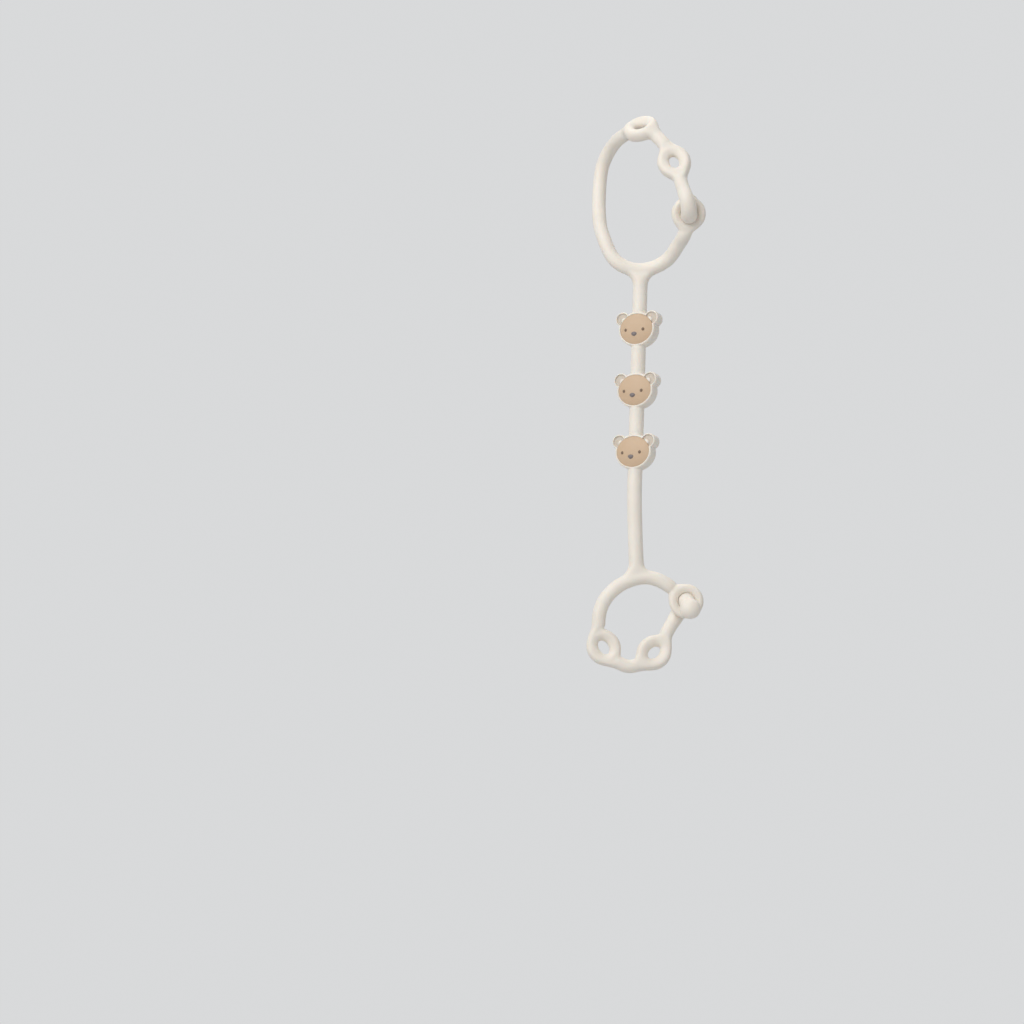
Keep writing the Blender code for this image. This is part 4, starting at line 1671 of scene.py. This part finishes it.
@dataclass(frozen=True)
class Studio:
    """The pale floor, the pale room, the soft lights and the camera."""

    floor_size: float = 60.0
    floor_height: float = -0.70
    floor_colour: Colour = (0.70, 0.705, 0.715, 1.0)
    floor_roughness: float = 0.9
    # Where the floor starts to be lifted to the room's tone, where it is full, and how much.
    floor_lift: Span = (0.4, 2.4)
    floor_glow: float = 0.394
    room: Colour = (0.96, 0.97, 0.98, 1.0)
    room_shown: float = 0.72
    room_light: float = 0.42
    aim: Vector = Vector((0.0, 0.0, -0.14))
    lamps: tuple[Lamp, ...] = (
        Lamp("window_light", Vector((-1.3, -1.6, 1.1)), 1.9, 40.0),
        Lamp("fill_light", Vector((1.6, -1.2, 0.1)), 1.4, 3.5),
        Lamp("top_light", Vector((0.1, 0.5, 1.5)), 1.2, 8.0),
    )
    pitch: float = math.radians(9.0)
    roll: float = math.radians(1.9)
    place: Shares = (-0.07288, -1.96638, -0.52308)
    sensor: float = 36.0
    lens: float = 3333.0 / 1024.0 * 36.0
    clip: Span = (0.01, 50.0)

    @staticmethod
    def _seen(wiring: Wiring) -> Source:
        """Tell what the camera sees, directly or in a gloss, from what lights the object.

        Args:
            wiring: The nodes of the floor or the world.

        Returns:
            1 for what the camera sees, 0 for what lights.
        """
        path = wiring.add("LightPath", {}).outputs
        rays: Source = path["Is Camera Ray"]
        for name in ("Is Glossy Ray", "Is Transmission Ray"):
            rays = wiring.math("MAXIMUM", rays, path[name])
        return rays

    @staticmethod
    def _add(name: str, data: ID, place: Sequence[float], axes: Matrix) -> Object:
        """Add a light or a camera to the scene.

        Args:
            name: Its name.
            data: The light or the camera.
            place: Where it is.
            axes: Its axes.

        Returns:
            The object.
        """
        obj = bpy.data.objects.new(name, data)
        bpy.context.scene.collection.objects.link(obj)
        obj.matrix_world = Matrix.Translation(place) @ axes.to_4x4()
        return obj

    def floor(self) -> None:
        """Lay a wide pale floor, which is lifted to the room's tone where the lamps don't reach it."""
        Bench.clear()
        bpy.ops.mesh.primitive_plane_add(size=self.floor_size, location=(0.0, 0.0, self.floor_height))
        sheet = bpy.context.active_object
        sheet.name = "floor"
        material = bpy.data.materials.new("Pale studio floor")
        material.use_nodes = True
        wiring = Wiring(material.node_tree)
        place = wiring.add("TexCoord", {}).outputs["Object"]
        away = wiring.add("VectorMath", {0: place}, operation="LENGTH").outputs["Value"]
        far = wiring.ramp(away, self.floor_lift, (0.0, self.floor_glow), "SMOOTHSTEP")
        look = {
            "Base Color": self.floor_colour,
            "Roughness": self.floor_roughness,
            "Emission Color": self.room,
            "Emission Strength": wiring.math("MULTIPLY", far, self._seen(wiring)),
        }
        wiring.feed(wiring.tree.nodes["Principled BSDF"], look)
        sheet.data.materials.append(material)

    def lights(self) -> None:
        """Add a large soft light at the left and above, a weak one at the right, and an even pale world."""
        for lamp in self.lamps:
            light = bpy.data.lights.new(lamp.name, "AREA")
            light.shape = "SQUARE"
            light.size = lamp.size
            light.energy = lamp.power
            axes = (self.aim - lamp.place).to_track_quat("-Z", "Y").to_matrix()
            self._add(lamp.name, light, lamp.place, axes)
        world = bpy.data.worlds.new("soft_room")
        bpy.context.scene.world = world
        world.use_nodes = True
        wiring = Wiring(world.node_tree)
        shown = (self.room_light, self.room_shown)
        level = wiring.ramp(self._seen(wiring), (0.0, 1.0), shown, "SMOOTHSTEP")
        wiring.feed(wiring.tree.nodes["Background"], {"Color": self.room, "Strength": level})

    def camera(self) -> None:
        """Add the photograph's camera: a little below, tilted up, with a long lens."""
        data = bpy.data.cameras.new("camera")
        data.lens = self.lens
        data.sensor_width = self.sensor
        data.clip_start, data.clip_end = self.clip
        tilt = Matrix.Rotation(math.pi / 2 + self.pitch, 3, "X")
        axes = tilt @ Matrix.Rotation(self.roll, 3, "Z")
        bpy.context.scene.camera = self._add("camera", data, self.place, axes)

    def build(self) -> None:
        """Set up the whole studio."""
        bpy.context.scene.view_settings.view_transform = "Standard"
        self.floor()
        self.lights()
        self.camera()


def main() -> None:
    """Build the strap and its studio."""
    logging.basicConfig(level=logging.INFO, format="%(name)s: %(message)s")
    strap = Strap()
    strap.build()
    strap.dress()
    strap.hang()
    Studio().build()
    LOG.info("%d pieces", len(strap.pieces))


if __name__ == "__main__":
    main()
